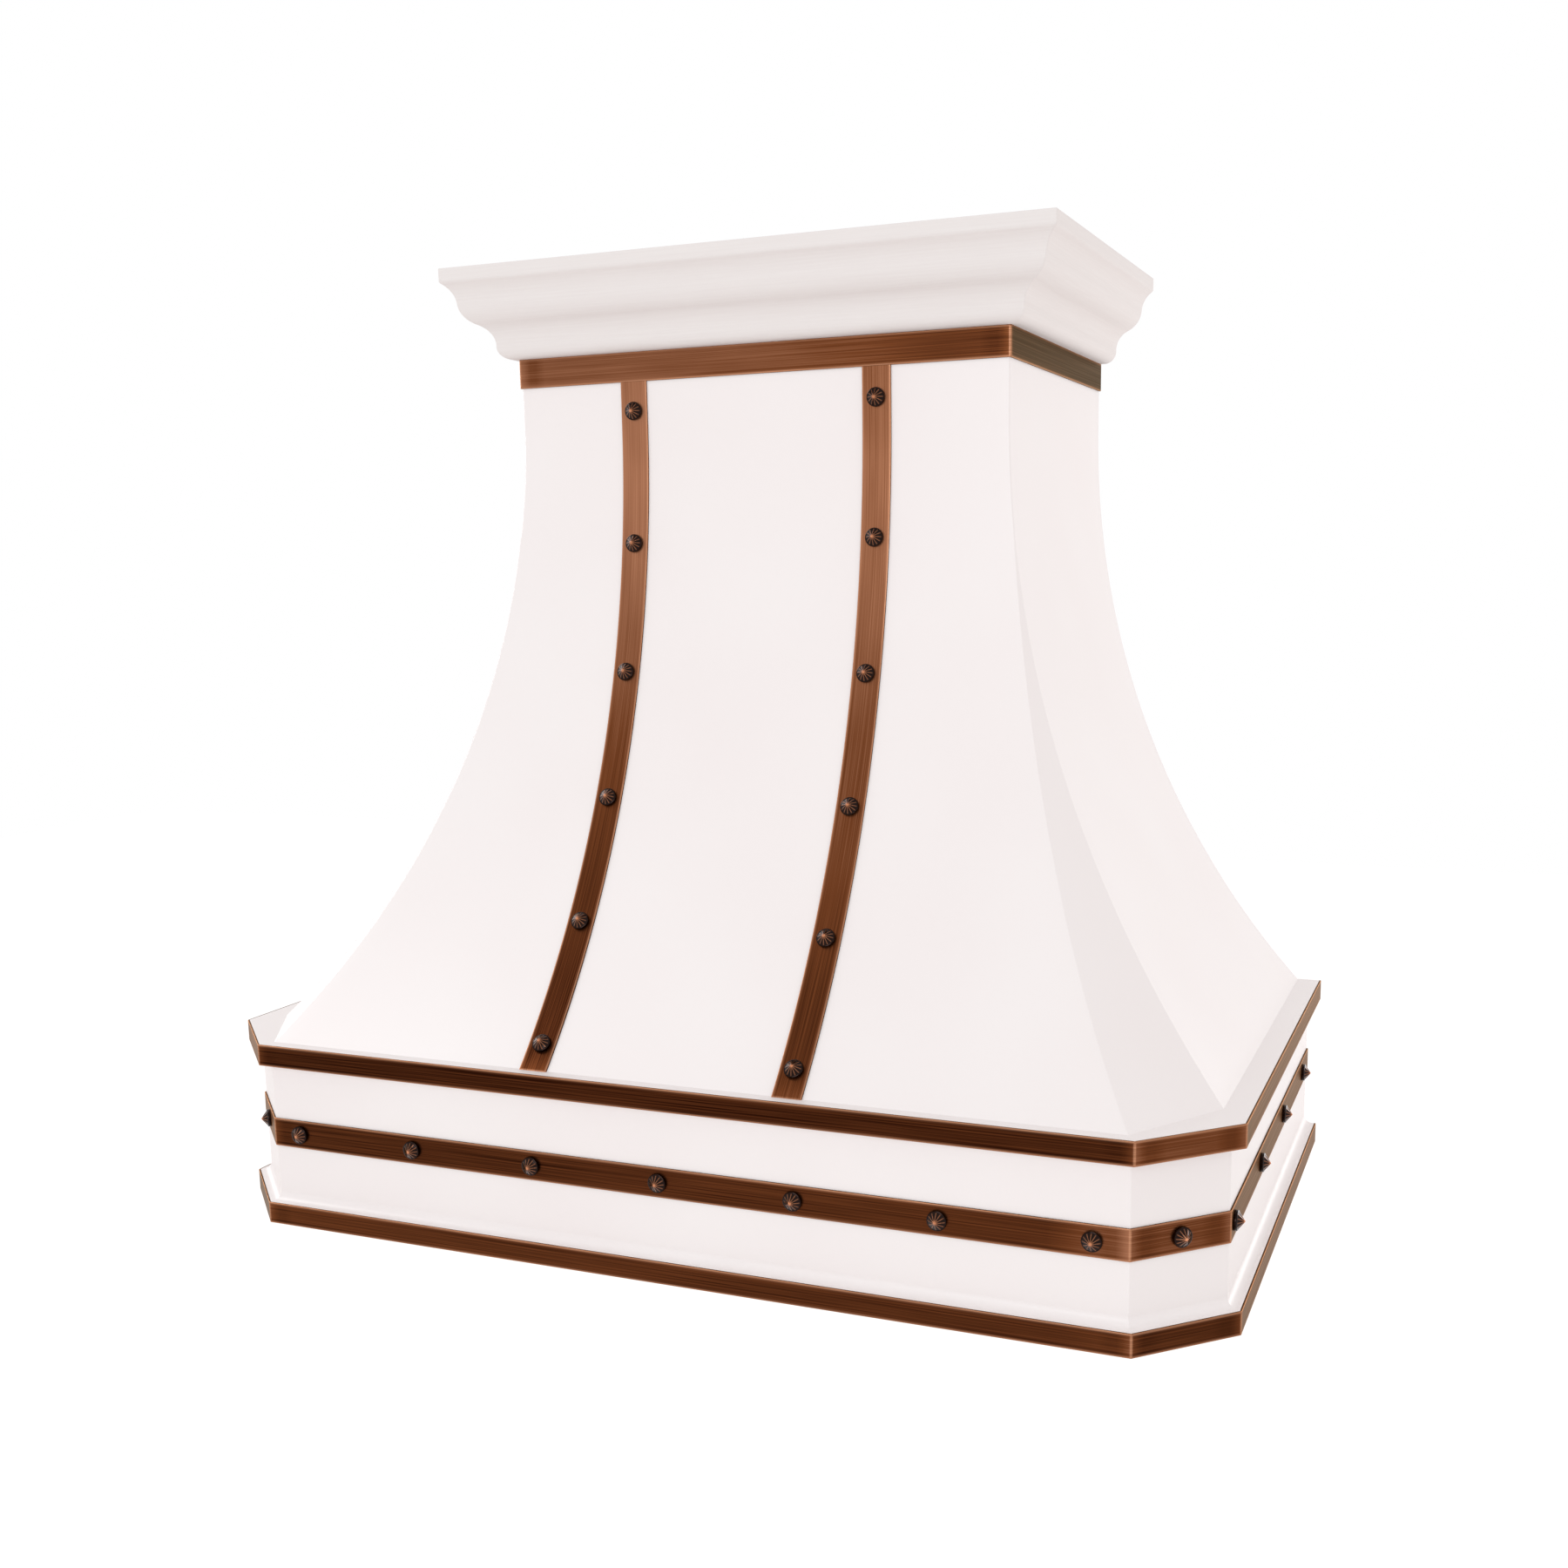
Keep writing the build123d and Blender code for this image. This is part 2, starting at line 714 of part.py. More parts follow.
with BuildPart() as crown_front:
    with BuildSketch(view(front_way, (0, chimney_y, 0))) as section:
        crown_face()
    extrude(section.sketch, amount=crown_half, both=True)
    split(bisect_by=front_mitre, keep=Keep.BOTTOM)
    split(bisect_by=front_mitre_left, keep=Keep.BOTTOM)
crown_front.part.label = "crown_front"
export_step(crown_front.part, "parts/crown_front.step")

with BuildPart() as crown_right:
    with BuildSketch(view(side_way, (chimney_half, wall_y, 0))) as section:
        crown_face()
    extrude(section.sketch, amount=wall_y - chimney_y + crown_overhang)
    split(bisect_by=front_mitre, keep=Keep.TOP)
crown_right.part.label = "crown_right"
export_step(crown_right.part, "parts/crown_right.step")

with BuildPart() as crown_left:
    mirror(crown_right.part, about=Plane.YZ)
crown_left.part.label = "crown_left"
export_step(crown_left.part, "parts/crown_left.step")

# Copper bands: bent strips round the front and both sides
with BuildPart() as top_band:
    band(chimney_outline(-copper_strip), chimney_outline(0), top_band_z, top_band_height)
    ease_strip_edges(top_band, lambda x, y: chimney_depth(x, y) + copper_strip)
top_band.part.label = "top_band"
export_step(top_band.part, "parts/top_band.step")

with BuildPart() as upper_band:
    band(ledge_outline(0), ledge_outline(copper_strip), upper_ledge_z, ledge_band_height)
    ease_strip_edges(upper_band, ledge_depth)
upper_band.part.label = "upper_band"
export_step(upper_band.part, "parts/upper_band.step")

with BuildPart() as middle_band:
    band(ledge_outline(band_setback), ledge_outline(apron_setback), middle_band_z, middle_band_height)
    ease_strip_edges(middle_band, lambda x, y: ledge_depth(x, y) - band_setback)
    clavo_holes(front_clavo_planes + corner_clavo_planes)
    clavo_holes(side_clavo_planes[-1] + side_clavo_planes[1])
middle_band.part.label = "middle_band"
export_step(middle_band.part, "parts/middle_band.step")

with BuildPart() as lower_band:
    band(ledge_outline(0), ledge_outline(copper_strip), 0, ledge_band_height)
    ease_strip_edges(lower_band, ledge_depth)
lower_band.part.label = "lower_band"
export_step(lower_band.part, "parts/lower_band.step")

# Straps: copper strips bent to the front panel's curve
for name, side in (("left_strap", -1), ("right_strap", 1)):
    with BuildPart() as strap:
        bell_sheet(front_way, front_curve, strap_depth, -seam, -hood_depth / 2, strap_width / 2,
                   origin=(side * strap_spacing / 2, 0, 0), bottom=strap_foot_z, top=top_band_z)
        clavo_holes(strap_clavo_planes[side])
    strap.part.label = name
    export_step(strap.part, f"parts/{name}.step")

with BuildPart() as strap_clavos:
    with Locations(*strap_clavo_planes[-1], *strap_clavo_planes[1]):
        add(clavo.part)
strap_clavos.part.label = "strap_clavos"
export_step(strap_clavos.part, "parts/strap_clavos.step")

with BuildPart() as band_clavos:
    with Locations(*front_clavo_planes, *corner_clavo_planes, *side_clavo_planes[-1],
                   *side_clavo_planes[1]):
        add(clavo.part)
band_clavos.part.label = "band_clavos"
export_step(band_clavos.part, "parts/band_clavos.step")

# Frame inside the chimney top: an angle with one leg on the panels and one leg turned in
frame_half = chimney_half - shell_sheet
frame_front_y = chimney_y + shell_sheet


# Rectangle inside the chimney, moved in by a margin
def frame_rectangle(margin):
    half = frame_half - margin
    return [(-half, frame_front_y + margin), (half, frame_front_y + margin),
            (half, rail_y - margin), (-half, rail_y - margin)]


with BuildPart() as top_frame:
    band(frame_rectangle(0), frame_rectangle(frame_thickness), panel_top_z - frame_leg, frame_leg)
    band(frame_rectangle(0), frame_rectangle(frame_leg), panel_top_z - frame_thickness,
         frame_thickness)
top_frame.part.label = "top_frame"
export_step(top_frame.part, "parts/top_frame.step")

# Wall rails, whose holes lie over the studs
upper_rail_half = frame_half - rail_end_gap
lower_rail_half = hood_width / 2 - apron_back - rail_end_gap
wall_hole_x = upper_rail_half - wall_hole_inset
wall_hole_xs = (-wall_hole_x, wall_hole_x)

with BuildPart() as upper_wall_rail:
    block((-upper_rail_half, rail_front_y, upper_rail_z - rail_height / 2),
          (upper_rail_half, rail_y, upper_rail_z + rail_height / 2))
    rail_holes([(x, upper_rail_z) for x in wall_hole_xs], wall_hole_radius)
    rail_holes(upper_rail_screws)
upper_wall_rail.part.label = "upper_wall_rail"
export_step(upper_wall_rail.part, "parts/upper_wall_rail.step")

with BuildPart() as lower_wall_rail:
    block((-lower_rail_half, rail_front_y, lower_rail_z - rail_height / 2),
          (lower_rail_half, rail_y, lower_rail_z + rail_height / 2))
    rail_holes([(x, lower_rail_z) for x in wall_hole_xs], wall_hole_radius)
    rail_holes(lower_rail_screws)
lower_wall_rail.part.label = "lower_wall_rail"
export_step(lower_wall_rail.part, "parts/lower_wall_rail.step")

# Liner pan: flange, walls and a deck with windows, lamp holes, control holes and pivot ears
lamp_places = [(-lamp_spacing / 2, strip_y), (lamp_spacing / 2, strip_y)]
control_places = [(-control_spacing / 2, strip_y), (control_spacing / 2, strip_y)]
neck_hole_radius = switch_neck_radius + seam
lamp_hole_radius = lamp_radius + moving_gap
pivot_y = window_back_y - filter_end_gap - pivot_edge
pivot_z = filter_z + pivot_edge
ear_front_y = window_back_y - ear_length


# Rectangle round the middle of the liner, larger than its outside by a margin
def liner_rectangle(margin):
    half = liner_width / 2 + margin
    return [(-half, liner_front_y - margin), (half, liner_front_y - margin),
            (half, liner_back_y + margin), (-half, liner_back_y + margin)]


# Both places of a filter's pivots: the ear's window-side face and the way that points out of it
def pivot_sides(filter_x):
    return [(filter_x + side * window_width / 2, side) for side in (-1, 1)]


with BuildPart() as liner_pan:
    band(liner_rectangle(liner_flange), liner_opening, shell_sheet, liner_sheet)
    band(liner_rectangle(0), liner_opening, shell_sheet, deck_top_z - shell_sheet)
    with BuildSketch(Plane.XY.offset(deck_z)) as deck:
        Polygon(*liner_rectangle(0))
        for filter_x in filter_places.values():
            with Locations((filter_x, (window_front_y + window_back_y) / 2)):
                Rectangle(window_width, window_length, mode=Mode.SUBTRACT)
        with Locations(*lamp_places):
            Circle(lamp_hole_radius, mode=Mode.SUBTRACT)
        with Locations(*control_places):
            Circle(neck_hole_radius, mode=Mode.SUBTRACT)
    extrude(deck.sketch, amount=liner_sheet)
    for filter_x in filter_places.values():
        for face_x, side in pivot_sides(filter_x):
            back_x = face_x + side * liner_sheet
            block((min(face_x, back_x), ear_front_y, deck_z - ear_drop),
                  (max(face_x, back_x), window_back_y, deck_z))
            with Locations(Plane(origin=(face_x, pivot_y, pivot_z), z_dir=(1, 0, 0))):
                Cylinder(pivot_radius + running_gap, 3 * liner_sheet, mode=Mode.SUBTRACT)
    upright_holes(liner_screw_places, screw_hole_radius, shell_sheet, liner_sheet)
liner_pan.part.label = "liner_pan"
export_step(liner_pan.part, "parts/liner_pan.step")

# Filter pivots: headed pins through the ears into the filters' side walls
pivot_length = liner_sheet + filter_side_gap + pivot_engagement
with BuildPart() as filter_pivots:
    for filter_x in filter_places.values():
        for face_x, side in pivot_sides(filter_x):
            seat = Plane(origin=(face_x + side * (liner_sheet + seam), pivot_y, pivot_z),
                         z_dir=(side, 0, 0))
            with Locations(seat):
                Cylinder(pivot_head_radius, pivot_head,
                         align=(Align.CENTER, Align.CENTER, Align.MIN))
                Cylinder(pivot_radius, pivot_length, align=(Align.CENTER, Align.CENTER, Align.MAX))
filter_pivots.part.label = "filter_pivots"
export_step(filter_pivots.part, "parts/filter_pivots.step")

# Baffle filters: a channel frame, an interlocked baffle pack and a wire handle
filter_width = window_width - 2 * filter_side_gap
filter_length = window_length - 2 * filter_end_gap
filter_y = (window_front_y + window_back_y) / 2
filter_front_y = filter_y - filter_length / 2
cavity_z = filter_z + liner_sheet
cavity_height = filter_height - 2 * liner_sheet
cavity_length = filter_length - 2 * liner_sheet
pack_width = filter_width - 2 * liner_sheet - 2 * baffle_side_gap
baffle_pitch = (pack_width - baffle_width) / lower_baffle_count
handle_y = filter_front_y + filter_lip / 2


# Row of channels that run front to back, open upwards or downwards
def baffle_row(filter_x, count, bottom, opens_up):
    web = Align.MIN if opens_up else Align.MAX
    first = filter_x - (count - 1) / 2 * baffle_pitch
    shift = baffle_sheet if opens_up else -baffle_sheet
    base = bottom if opens_up else bottom + baffle_height
    with BuildSketch(Plane.XZ.offset(-filter_y)) as row:
        with Locations(*[(first + n * baffle_pitch, base) for n in range(count)]):
            Rectangle(baffle_width, baffle_height, align=(Align.CENTER, web))
        with Locations(*[(first + n * baffle_pitch, base + shift) for n in range(count)]):
            Rectangle(baffle_width - 2 * baffle_sheet, baffle_height, align=(Align.CENTER, web),
                      mode=Mode.SUBTRACT)
    extrude(row.sketch, amount=cavity_length / 2, both=True)


for place, filter_x in filter_places.items():
    with BuildPart() as filter_frame:
        with Locations((filter_x, filter_y, filter_z + filter_height / 2)):
            Box(filter_width, filter_length, filter_height)
            Box(filter_width - 2 * liner_sheet, cavity_length, cavity_height, mode=Mode.SUBTRACT)
            Box(filter_width - 2 * filter_lip, filter_length - 2 * filter_lip, filter_height,
                mode=Mode.SUBTRACT)
        with Locations(Plane(origin=(filter_x, pivot_y, pivot_z), z_dir=(1, 0, 0))):
            Cylinder(pivot_radius + running_gap, 2 * filter_width, mode=Mode.SUBTRACT)
    filter_frame.part.label = f"{place}_filter_frame"
    export_step(filter_frame.part, f"parts/{place}_filter_frame.step")

    with BuildPart() as filter_baffles:
        tie_z = cavity_z + baffle_height
        baffle_row(filter_x, lower_baffle_count, cavity_z, True)
        baffle_row(filter_x, lower_baffle_count + 1, cavity_z + cavity_height - baffle_height, False)
        for side in (-1, 1):
            bar_y = filter_y + side * tie_bar_spacing / 2
            block((filter_x - pack_width / 2, bar_y - tie_bar_width / 2, tie_z),
                  (filter_x + pack_width / 2, bar_y + tie_bar_width / 2,
                   cavity_z + cavity_height - baffle_height))
    filter_baffles.part.label = f"{place}_filter_baffles"
    export_step(filter_baffles.part, f"parts/{place}_filter_baffles.step")

    with BuildPart() as filter_handle:
        half = handle_width / 2
        with BuildLine(Plane.XZ.offset(-handle_y)) as wire:
            FilletPolyline((filter_x - half, filter_z), (filter_x - half, filter_z - handle_drop),
                           (filter_x + half, filter_z - handle_drop), (filter_x + half, filter_z),
                           radius=handle_bend)
        with BuildSketch(Plane(origin=wire.line @ 0, z_dir=wire.line % 0)) as section:
            Circle(handle_wire)
        sweep(section.sketch, path=wire.line)
    filter_handle.part.label = f"{place}_filter_handle"
    export_step(filter_handle.part, f"parts/{place}_filter_handle.step")

# Lamps: a can with a bezel under the deck, a lens on the bezel's lip and a board above it
can_inner = lamp_radius - liner_sheet
lens_z = deck_z + seam
board_radius = can_inner - moving_gap
for place, (lamp_x, lamp_y) in zip(("left", "right"), lamp_places):
    with BuildPart(Plane(origin=(lamp_x, lamp_y, deck_z))) as lamp_housing:
        Cylinder(lamp_radius, lamp_can_height, align=(Align.CENTER, Align.CENTER, Align.MIN))
        Cylinder(lamp_radius + lamp_bezel, lamp_bezel_height,
                 align=(Align.CENTER, Align.CENTER, Align.MAX))
        Cylinder(can_inner, lamp_can_height - liner_sheet,
                 align=(Align.CENTER, Align.CENTER, Align.MIN), mode=Mode.SUBTRACT)
        Cylinder(can_inner - lens_seat, 2 * lamp_bezel_height, mode=Mode.SUBTRACT)
    lamp_housing.part.label = f"{place}_lamp_housing"
    export_step(lamp_housing.part, f"parts/{place}_lamp_housing.step")

    with BuildPart(Plane(origin=(lamp_x, lamp_y, lens_z))) as lamp_lens:
        Cylinder(can_inner - seam, lens_thickness, align=(Align.CENTER, Align.CENTER, Align.MIN))
    lamp_lens.part.label = f"{place}_lamp_lens"
    export_step(lamp_lens.part, f"parts/{place}_lamp_lens.step")

with BuildPart() as lamp_boards:
    with Locations(*[(x, y, deck_z + lamp_can_height - liner_sheet) for x, y in lamp_places]):
        Cylinder(board_radius, board_thickness, align=(Align.CENTER, Align.CENTER, Align.MAX))
lamp_boards.part.label = "lamp_boards"
export_step(lamp_boards.part, "parts/lamp_boards.step")

# Controls: a switch on the deck with a neck through it, and a knob whose spindle turns in the neck
knob_top_z = deck_z - switch_neck_drop - 2 * moving_gap
for name, (control_x, control_y) in zip(("fan", "light"), control_places):
    with BuildPart() as switch:
        block((control_x - switch_width / 2, control_y - switch_width / 2, deck_top_z),
              (control_x + switch_width / 2, control_y + switch_width / 2,
               deck_top_z + switch_height))
        with Locations((control_x, control_y, deck_z - switch_neck_drop)):
            Cylinder(switch_neck_radius, switch_neck_drop + liner_sheet,
                     align=(Align.CENTER, Align.CENTER, Align.MIN))
            Cylinder(spindle_radius + running_gap, switch_neck_drop + spindle_reach + 2 * moving_gap,
                     align=(Align.CENTER, Align.CENTER, Align.MIN), mode=Mode.SUBTRACT)
    switch.part.label = f"{name}_switch"
    export_step(switch.part, f"parts/{name}_switch.step")

    with BuildPart() as knob:
        with Locations((control_x, control_y, knob_top_z)):
            Cylinder(knob_radius, knob_height - knob_grip_height,
                     align=(Align.CENTER, Align.CENTER, Align.MAX))
            Cylinder(spindle_radius, switch_neck_drop + spindle_reach,
                     align=(Align.CENTER, Align.CENTER, Align.MIN))
        with Locations((control_x, control_y, knob_top_z - knob_height + knob_grip_height)):
            Box(knob_grip_width, 2 * knob_radius - knob_grip_width, knob_grip_height,
                align=(Align.CENTER, Align.CENTER, Align.MAX))
    knob.part.label = f"{name}_knob"
    export_step(knob.part, f"parts/{name}_knob.step")

# Plenum: a box over the filter windows, open below, with a hole up into the blower box
plenum_half = (3 * window_width + 2 * window_bar) / 2 + plenum_margin
box_half = blower_box_width / 2


# Rectangle round the plenum, larger than its outside by a margin
def plenum_rectangle(margin):
    half = plenum_half + margin
    return [(-half, plenum_front_y - margin), (half, plenum_front_y - margin),
            (half, plenum_back_y + margin), (-half, plenum_back_y + margin)]


# Rectangle round the blower box, larger than its outside by a margin
def blower_box_rectangle(margin):
    half = box_half + margin
    return [(-half, box_front_y - margin), (half, box_front_y - margin),
            (half, box_back_y + margin), (-half, box_back_y + margin)]


with BuildPart() as plenum:
    band(plenum_rectangle(0), plenum_rectangle(-liner_sheet), deck_top_z, plenum_top_z - deck_top_z)
    band(plenum_rectangle(plenum_flange), plenum_rectangle(-liner_sheet), deck_top_z, liner_sheet)
    band(plenum_rectangle(0), blower_box_rectangle(-plenum_flange),
         plenum_top_z - liner_sheet, liner_sheet)
plenum.part.label = "plenum"
export_step(plenum.part, "parts/plenum.step")

# Blower box: open below, with a round hole for the duct collar in its top
collar_screw_reach = collar_plate / 2 - collar_screw_inset
collar_screw_places = [
    (x * collar_screw_reach, duct_y + y * collar_screw_reach) for x in (-1, 1) for y in (-1, 1)
]

with BuildPart() as blower_box:
    band(blower_box_rectangle(0), blower_box_rectangle(-liner_sheet), plenum_top_z,
         box_top_z - plenum_top_z)
    with BuildSketch(Plane.XY.offset(box_top_z - liner_sheet)) as lid:
        Polygon(*blower_box_rectangle(0))
        with Locations((0, duct_y)):
            Circle(collar_inner, mode=Mode.SUBTRACT)
        with Locations(*collar_screw_places):
            Circle(screw_hole_radius, mode=Mode.SUBTRACT)
    extrude(lid.sketch, amount=liner_sheet)
blower_box.part.label = "blower_box"
export_step(blower_box.part, "parts/blower_box.step")

# Fan casing: four arcs that widen from the tongue round to a plumb outlet, whose square plate
# hangs from the blower box's lid by the collar's screws
outlet_height = box_top_z - liner_sheet - fan_z
fan_axis = Plane(origin=(0, fan_y, fan_z), x_dir=(0, 1, 0), z_dir=(1, 0, 0))
casing_half = scroll_width / 2 + liner_sheet


# Outline of the casing seen along the fan's axis, larger by a margin
def scroll_face(margin):
    half = scroll_step / 2
    centres = [(half, half), (half, -half), (-half, -half), (-half, half)]
    radii = [scroll_radius - n * scroll_step + margin for n in range(4)]
    front = outlet_setback - margin
    back = half + radii[0]
    tongue_angle = degrees(acos((front + half) / radii[3]))
    with BuildLine() as edge:
        for n in range(3):
            CenterArc(centres[n], radii[n], -90 * n, -90)
        tongue = CenterArc(centres[3], radii[3], 90, tongue_angle - 90)
        Polyline(tongue @ 1, (front, outlet_height), (back, outlet_height), (back, half))
    make_face(edge.edges())


with BuildPart() as blower_scroll:
    with BuildSketch(fan_axis) as casing:
        scroll_face(liner_sheet)
    extrude(amount=casing_half, both=True)
    with BuildSketch(Plane.XY.offset(box_top_z - liner_sheet)) as plate:
        with Locations((0, duct_y)):
            Rectangle(collar_plate, collar_plate)
        with Locations(*collar_screw_places):
            Circle(screw_hole_radius, mode=Mode.SUBTRACT)
    extrude(amount=-liner_sheet)
    with BuildSketch(fan_axis) as air_space:
        scroll_face(0)
    extrude(amount=scroll_width / 2, both=True, mode=Mode.SUBTRACT)
    with Locations(fan_axis):
        Cylinder(inlet_radius, 2 * casing_half, mode=Mode.SUBTRACT)
blower_scroll.part.label = "blower_scroll"
export_step(blower_scroll.part, "parts/blower_scroll.step")

# Fan wheel: blades between two rings, carried by a disc with a hub
blade_inner = wheel_radius - blade_depth
hub_bore = shaft_radius + seam / 2
blade_middle = (wheel_radius + blade_inner) / 2
blade_length = (blade_depth - 2 * wheel_ring) / cos(radians(blade_angle))
with BuildPart() as impeller:
    with BuildSketch(fan_axis) as blades:
        with PolarLocations(blade_middle, blade_count):
            Rectangle(blade_length, blade_sheet, rotation=blade_angle)
    extrude(blades.sketch, amount=wheel_width / 2, both=True)
    for shift in (-wheel_width / 2, wheel_width / 2):
        with BuildSketch(fan_axis.offset(shift)) as ring:
            Circle(wheel_radius)
            Circle(blade_inner, mode=Mode.SUBTRACT)
        extrude(ring.sketch, amount=wheel_ring / 2, both=True)
    with Locations(fan_axis):
        Cylinder(wheel_radius, wheel_ring)
        Cylinder(hub_radius, hub_length)
        Cylinder(hub_bore, hub_length, mode=Mode.SUBTRACT)
impeller.part.label = "impeller"
export_step(impeller.part, "parts/impeller.step")

# Motor inside the wheel, on the left, with its shaft and three-arm bracket
motor_start = -(motor_face + motor_length)
shaft_start = -2 * motor_face
shaft_end = hub_length / 2 + 2 * moving_gap
with BuildPart() as motor_shaft:
    with Locations(fan_axis.offset(shaft_start)):
        Cylinder(shaft_radius, shaft_end - shaft_start,
                 align=(Align.CENTER, Align.CENTER, Align.MIN))
motor_shaft.part.label = "motor_shaft"
export_step(motor_shaft.part, "parts/motor_shaft.step")

with BuildPart() as motor:
    with Locations(fan_axis.offset(motor_start)):
        Cylinder(motor_radius, motor_length, align=(Align.CENTER, Align.CENTER, Align.MIN))
    fillet(motor.edges().filter_by(GeomType.CIRCLE), radius=motor_edge)
    with Locations(fan_axis.offset(shaft_start - moving_gap)):
        Cylinder(shaft_radius + running_gap, motor_length,
                 align=(Align.CENTER, Align.CENTER, Align.MIN), mode=Mode.SUBTRACT)
motor.part.label = "motor"
export_step(motor.part, "parts/motor.step")

with BuildPart() as motor_bracket:
    ring_inner = motor_radius + seam
    with BuildSketch(fan_axis.offset(-casing_half)) as ring:
        Circle(ring_inner + bracket_ring_width)
        Circle(ring_inner, mode=Mode.SUBTRACT)
    extrude(ring.sketch, amount=-bracket_hold)
    with BuildSketch(fan_axis.offset(-casing_half)) as arms:
        with PolarLocations((ring_inner + bracket_reach) / 2 + bracket_ring_width / 2, 3):
            Rectangle(bracket_reach - ring_inner - bracket_ring_width / 2, bracket_width)
    extrude(arms.sketch, amount=-bracket_plate)
motor_bracket.part.label = "motor_bracket"
export_step(motor_bracket.part, "parts/motor_bracket.step")

# Duct collar: a tube on a plate, with holes for the damper rods and two stops for each flap
rod_z = box_top_z + damper_rise
rod_xs = {"left": -damper_rod_spacing / 2, "right": damper_rod_spacing / 2}
flap_radius = collar_inner - flap_gap
stop_top_z = rod_z - flap_sheet / 2 - seam

with BuildPart() as duct_collar:
    with BuildSketch(Plane.XY.offset(box_top_z)) as plate:
        with Locations((0, duct_y)):
            Rectangle(collar_plate, collar_plate)
            Circle(collar_inner, mode=Mode.SUBTRACT)
        with Locations(*collar_screw_places):
            Circle(screw_hole_radius, mode=Mode.SUBTRACT)
    extrude(plate.sketch, amount=liner_sheet)
    with BuildSketch(Plane.XY.offset(box_top_z)) as tube:
        with Locations((0, duct_y)):
            Circle(collar_radius)
            Circle(collar_inner, mode=Mode.SUBTRACT)
    extrude(tube.sketch, amount=collar_height)
    with BuildSketch(Plane.XY.offset(box_top_z)) as stops:
        with Locations((0, duct_y)):
            Rectangle(2 * collar_inner + liner_sheet, stop_width)
            Rectangle(2 * (collar_inner - stop_reach), stop_width, mode=Mode.SUBTRACT)
    extrude(stops.sketch, amount=stop_top_z - box_top_z)
    for rod_x in rod_xs.values():
        with Locations(Plane(origin=(rod_x, duct_y, rod_z), z_dir=(0, 1, 0))):
            Cylinder(damper_rod_radius + running_gap, 3 * collar_radius, mode=Mode.SUBTRACT)
duct_collar.part.label = "duct_collar"
export_step(duct_collar.part, "parts/duct_collar.step")

with BuildPart() as damper_rods:
    for rod_x in rod_xs.values():
        with Locations(Plane(origin=(rod_x, duct_y, rod_z), z_dir=(0, 1, 0))):
            Cylinder(damper_rod_radius, 2 * (collar_radius - seam))
damper_rods.part.label = "damper_rods"
export_step(damper_rods.part, "parts/damper_rods.step")

for place, side in (("left", -1), ("right", 1)):
    rod_x = rod_xs[place]
    with BuildPart() as damper_flap:
        with BuildSketch(Plane.XY.offset(rod_z - flap_sheet / 2)) as plate:
            with Locations((0, duct_y)):
                Circle(flap_radius)
            keep_x = side * flap_radius
            low_x = min(rod_x, keep_x)
            with Locations((low_x, duct_y)):
                Rectangle(abs(keep_x - rod_x), 2 * flap_radius, align=(Align.MIN, Align.CENTER),
                          mode=Mode.INTERSECT)
        extrude(plate.sketch, amount=flap_sheet)
        with Locations(Plane(origin=(rod_x, duct_y, rod_z), z_dir=(0, 1, 0))):
            Cylinder(barrel_radius, barrel_length)
            Cylinder(damper_rod_radius + running_gap, 3 * collar_radius, mode=Mode.SUBTRACT)
    damper_flap.part.label = f"{place}_damper_flap"
    export_step(damper_flap.part, f"parts/{place}_damper_flap.step")

# Junction box on the plenum, with its knockout facing the wall, and its cover
junction_back_y = plenum_back_y - junction_back_inset
junction_front_y = junction_back_y - junction_depth
junction_low_x = junction_side_inset - plenum_half
junction_high_x = junction_low_x + junction_width
junction_x = (junction_low_x + junction_high_x) / 2
junction_top_z = plenum_top_z + junction_height
knockout_z = plenum_top_z + junction_height / 2

with BuildPart() as junction_box:
    block((junction_low_x, junction_front_y, plenum_top_z),
          (junction_high_x, junction_back_y, junction_top_z))
    block((junction_low_x + liner_sheet, junction_front_y + liner_sheet, plenum_top_z + liner_sheet),
          (junction_high_x - liner_sheet, junction_back_y - liner_sheet, junction_top_z),
          mode=Mode.SUBTRACT)
    with Locations(Plane(origin=(junction_x, junction_back_y, knockout_z), z_dir=(0, 1, 0))):
        Cylinder(knockout_radius, 3 * liner_sheet, mode=Mode.SUBTRACT)
junction_box.part.label = "junction_box"
export_step(junction_box.part, "parts/junction_box.step")

with BuildPart() as junction_box_cover:
    block((junction_low_x, junction_front_y, junction_top_z),
          (junction_high_x, junction_back_y, junction_top_z + liner_sheet))
junction_box_cover.part.label = "junction_box_cover"
export_step(junction_box_cover.part, "parts/junction_box_cover.step")


# Screw with its head on a place's plane and its shank below it
def screws(planes, shank_length):
    with Locations(*planes):
        Cylinder(screw_head_radius, screw_head, align=(Align.CENTER, Align.CENTER, Align.MIN))
        Cylinder(screw_radius, shank_length, align=(Align.CENTER, Align.CENTER, Align.MAX))


with BuildPart() as liner_screws:
    screws([Plane(origin=(x, y, shell_sheet + liner_sheet)) for x, y in liner_screw_places],
           shell_sheet + liner_sheet - seam)
liner_screws.part.label = "liner_screws"
export_step(liner_screws.part, "parts/liner_screws.step")

with BuildPart() as rail_screws:
    screws([Plane(origin=(x, rail_front_y, z), z_dir=(0, -1, 0))
            for x, z in upper_rail_screws + lower_rail_screws],
           rail_thickness + shell_sheet - seam)
rail_screws.part.label = "rail_screws"
export_step(rail_screws.part, "parts/rail_screws.step")

with BuildPart() as collar_screws:
    screws([Plane(origin=(x, y, box_top_z + liner_sheet)) for x, y in collar_screw_places],
           4 * liner_sheet)
collar_screws.part.label = "collar_screws"
export_step(collar_screws.part, "parts/collar_screws.step")
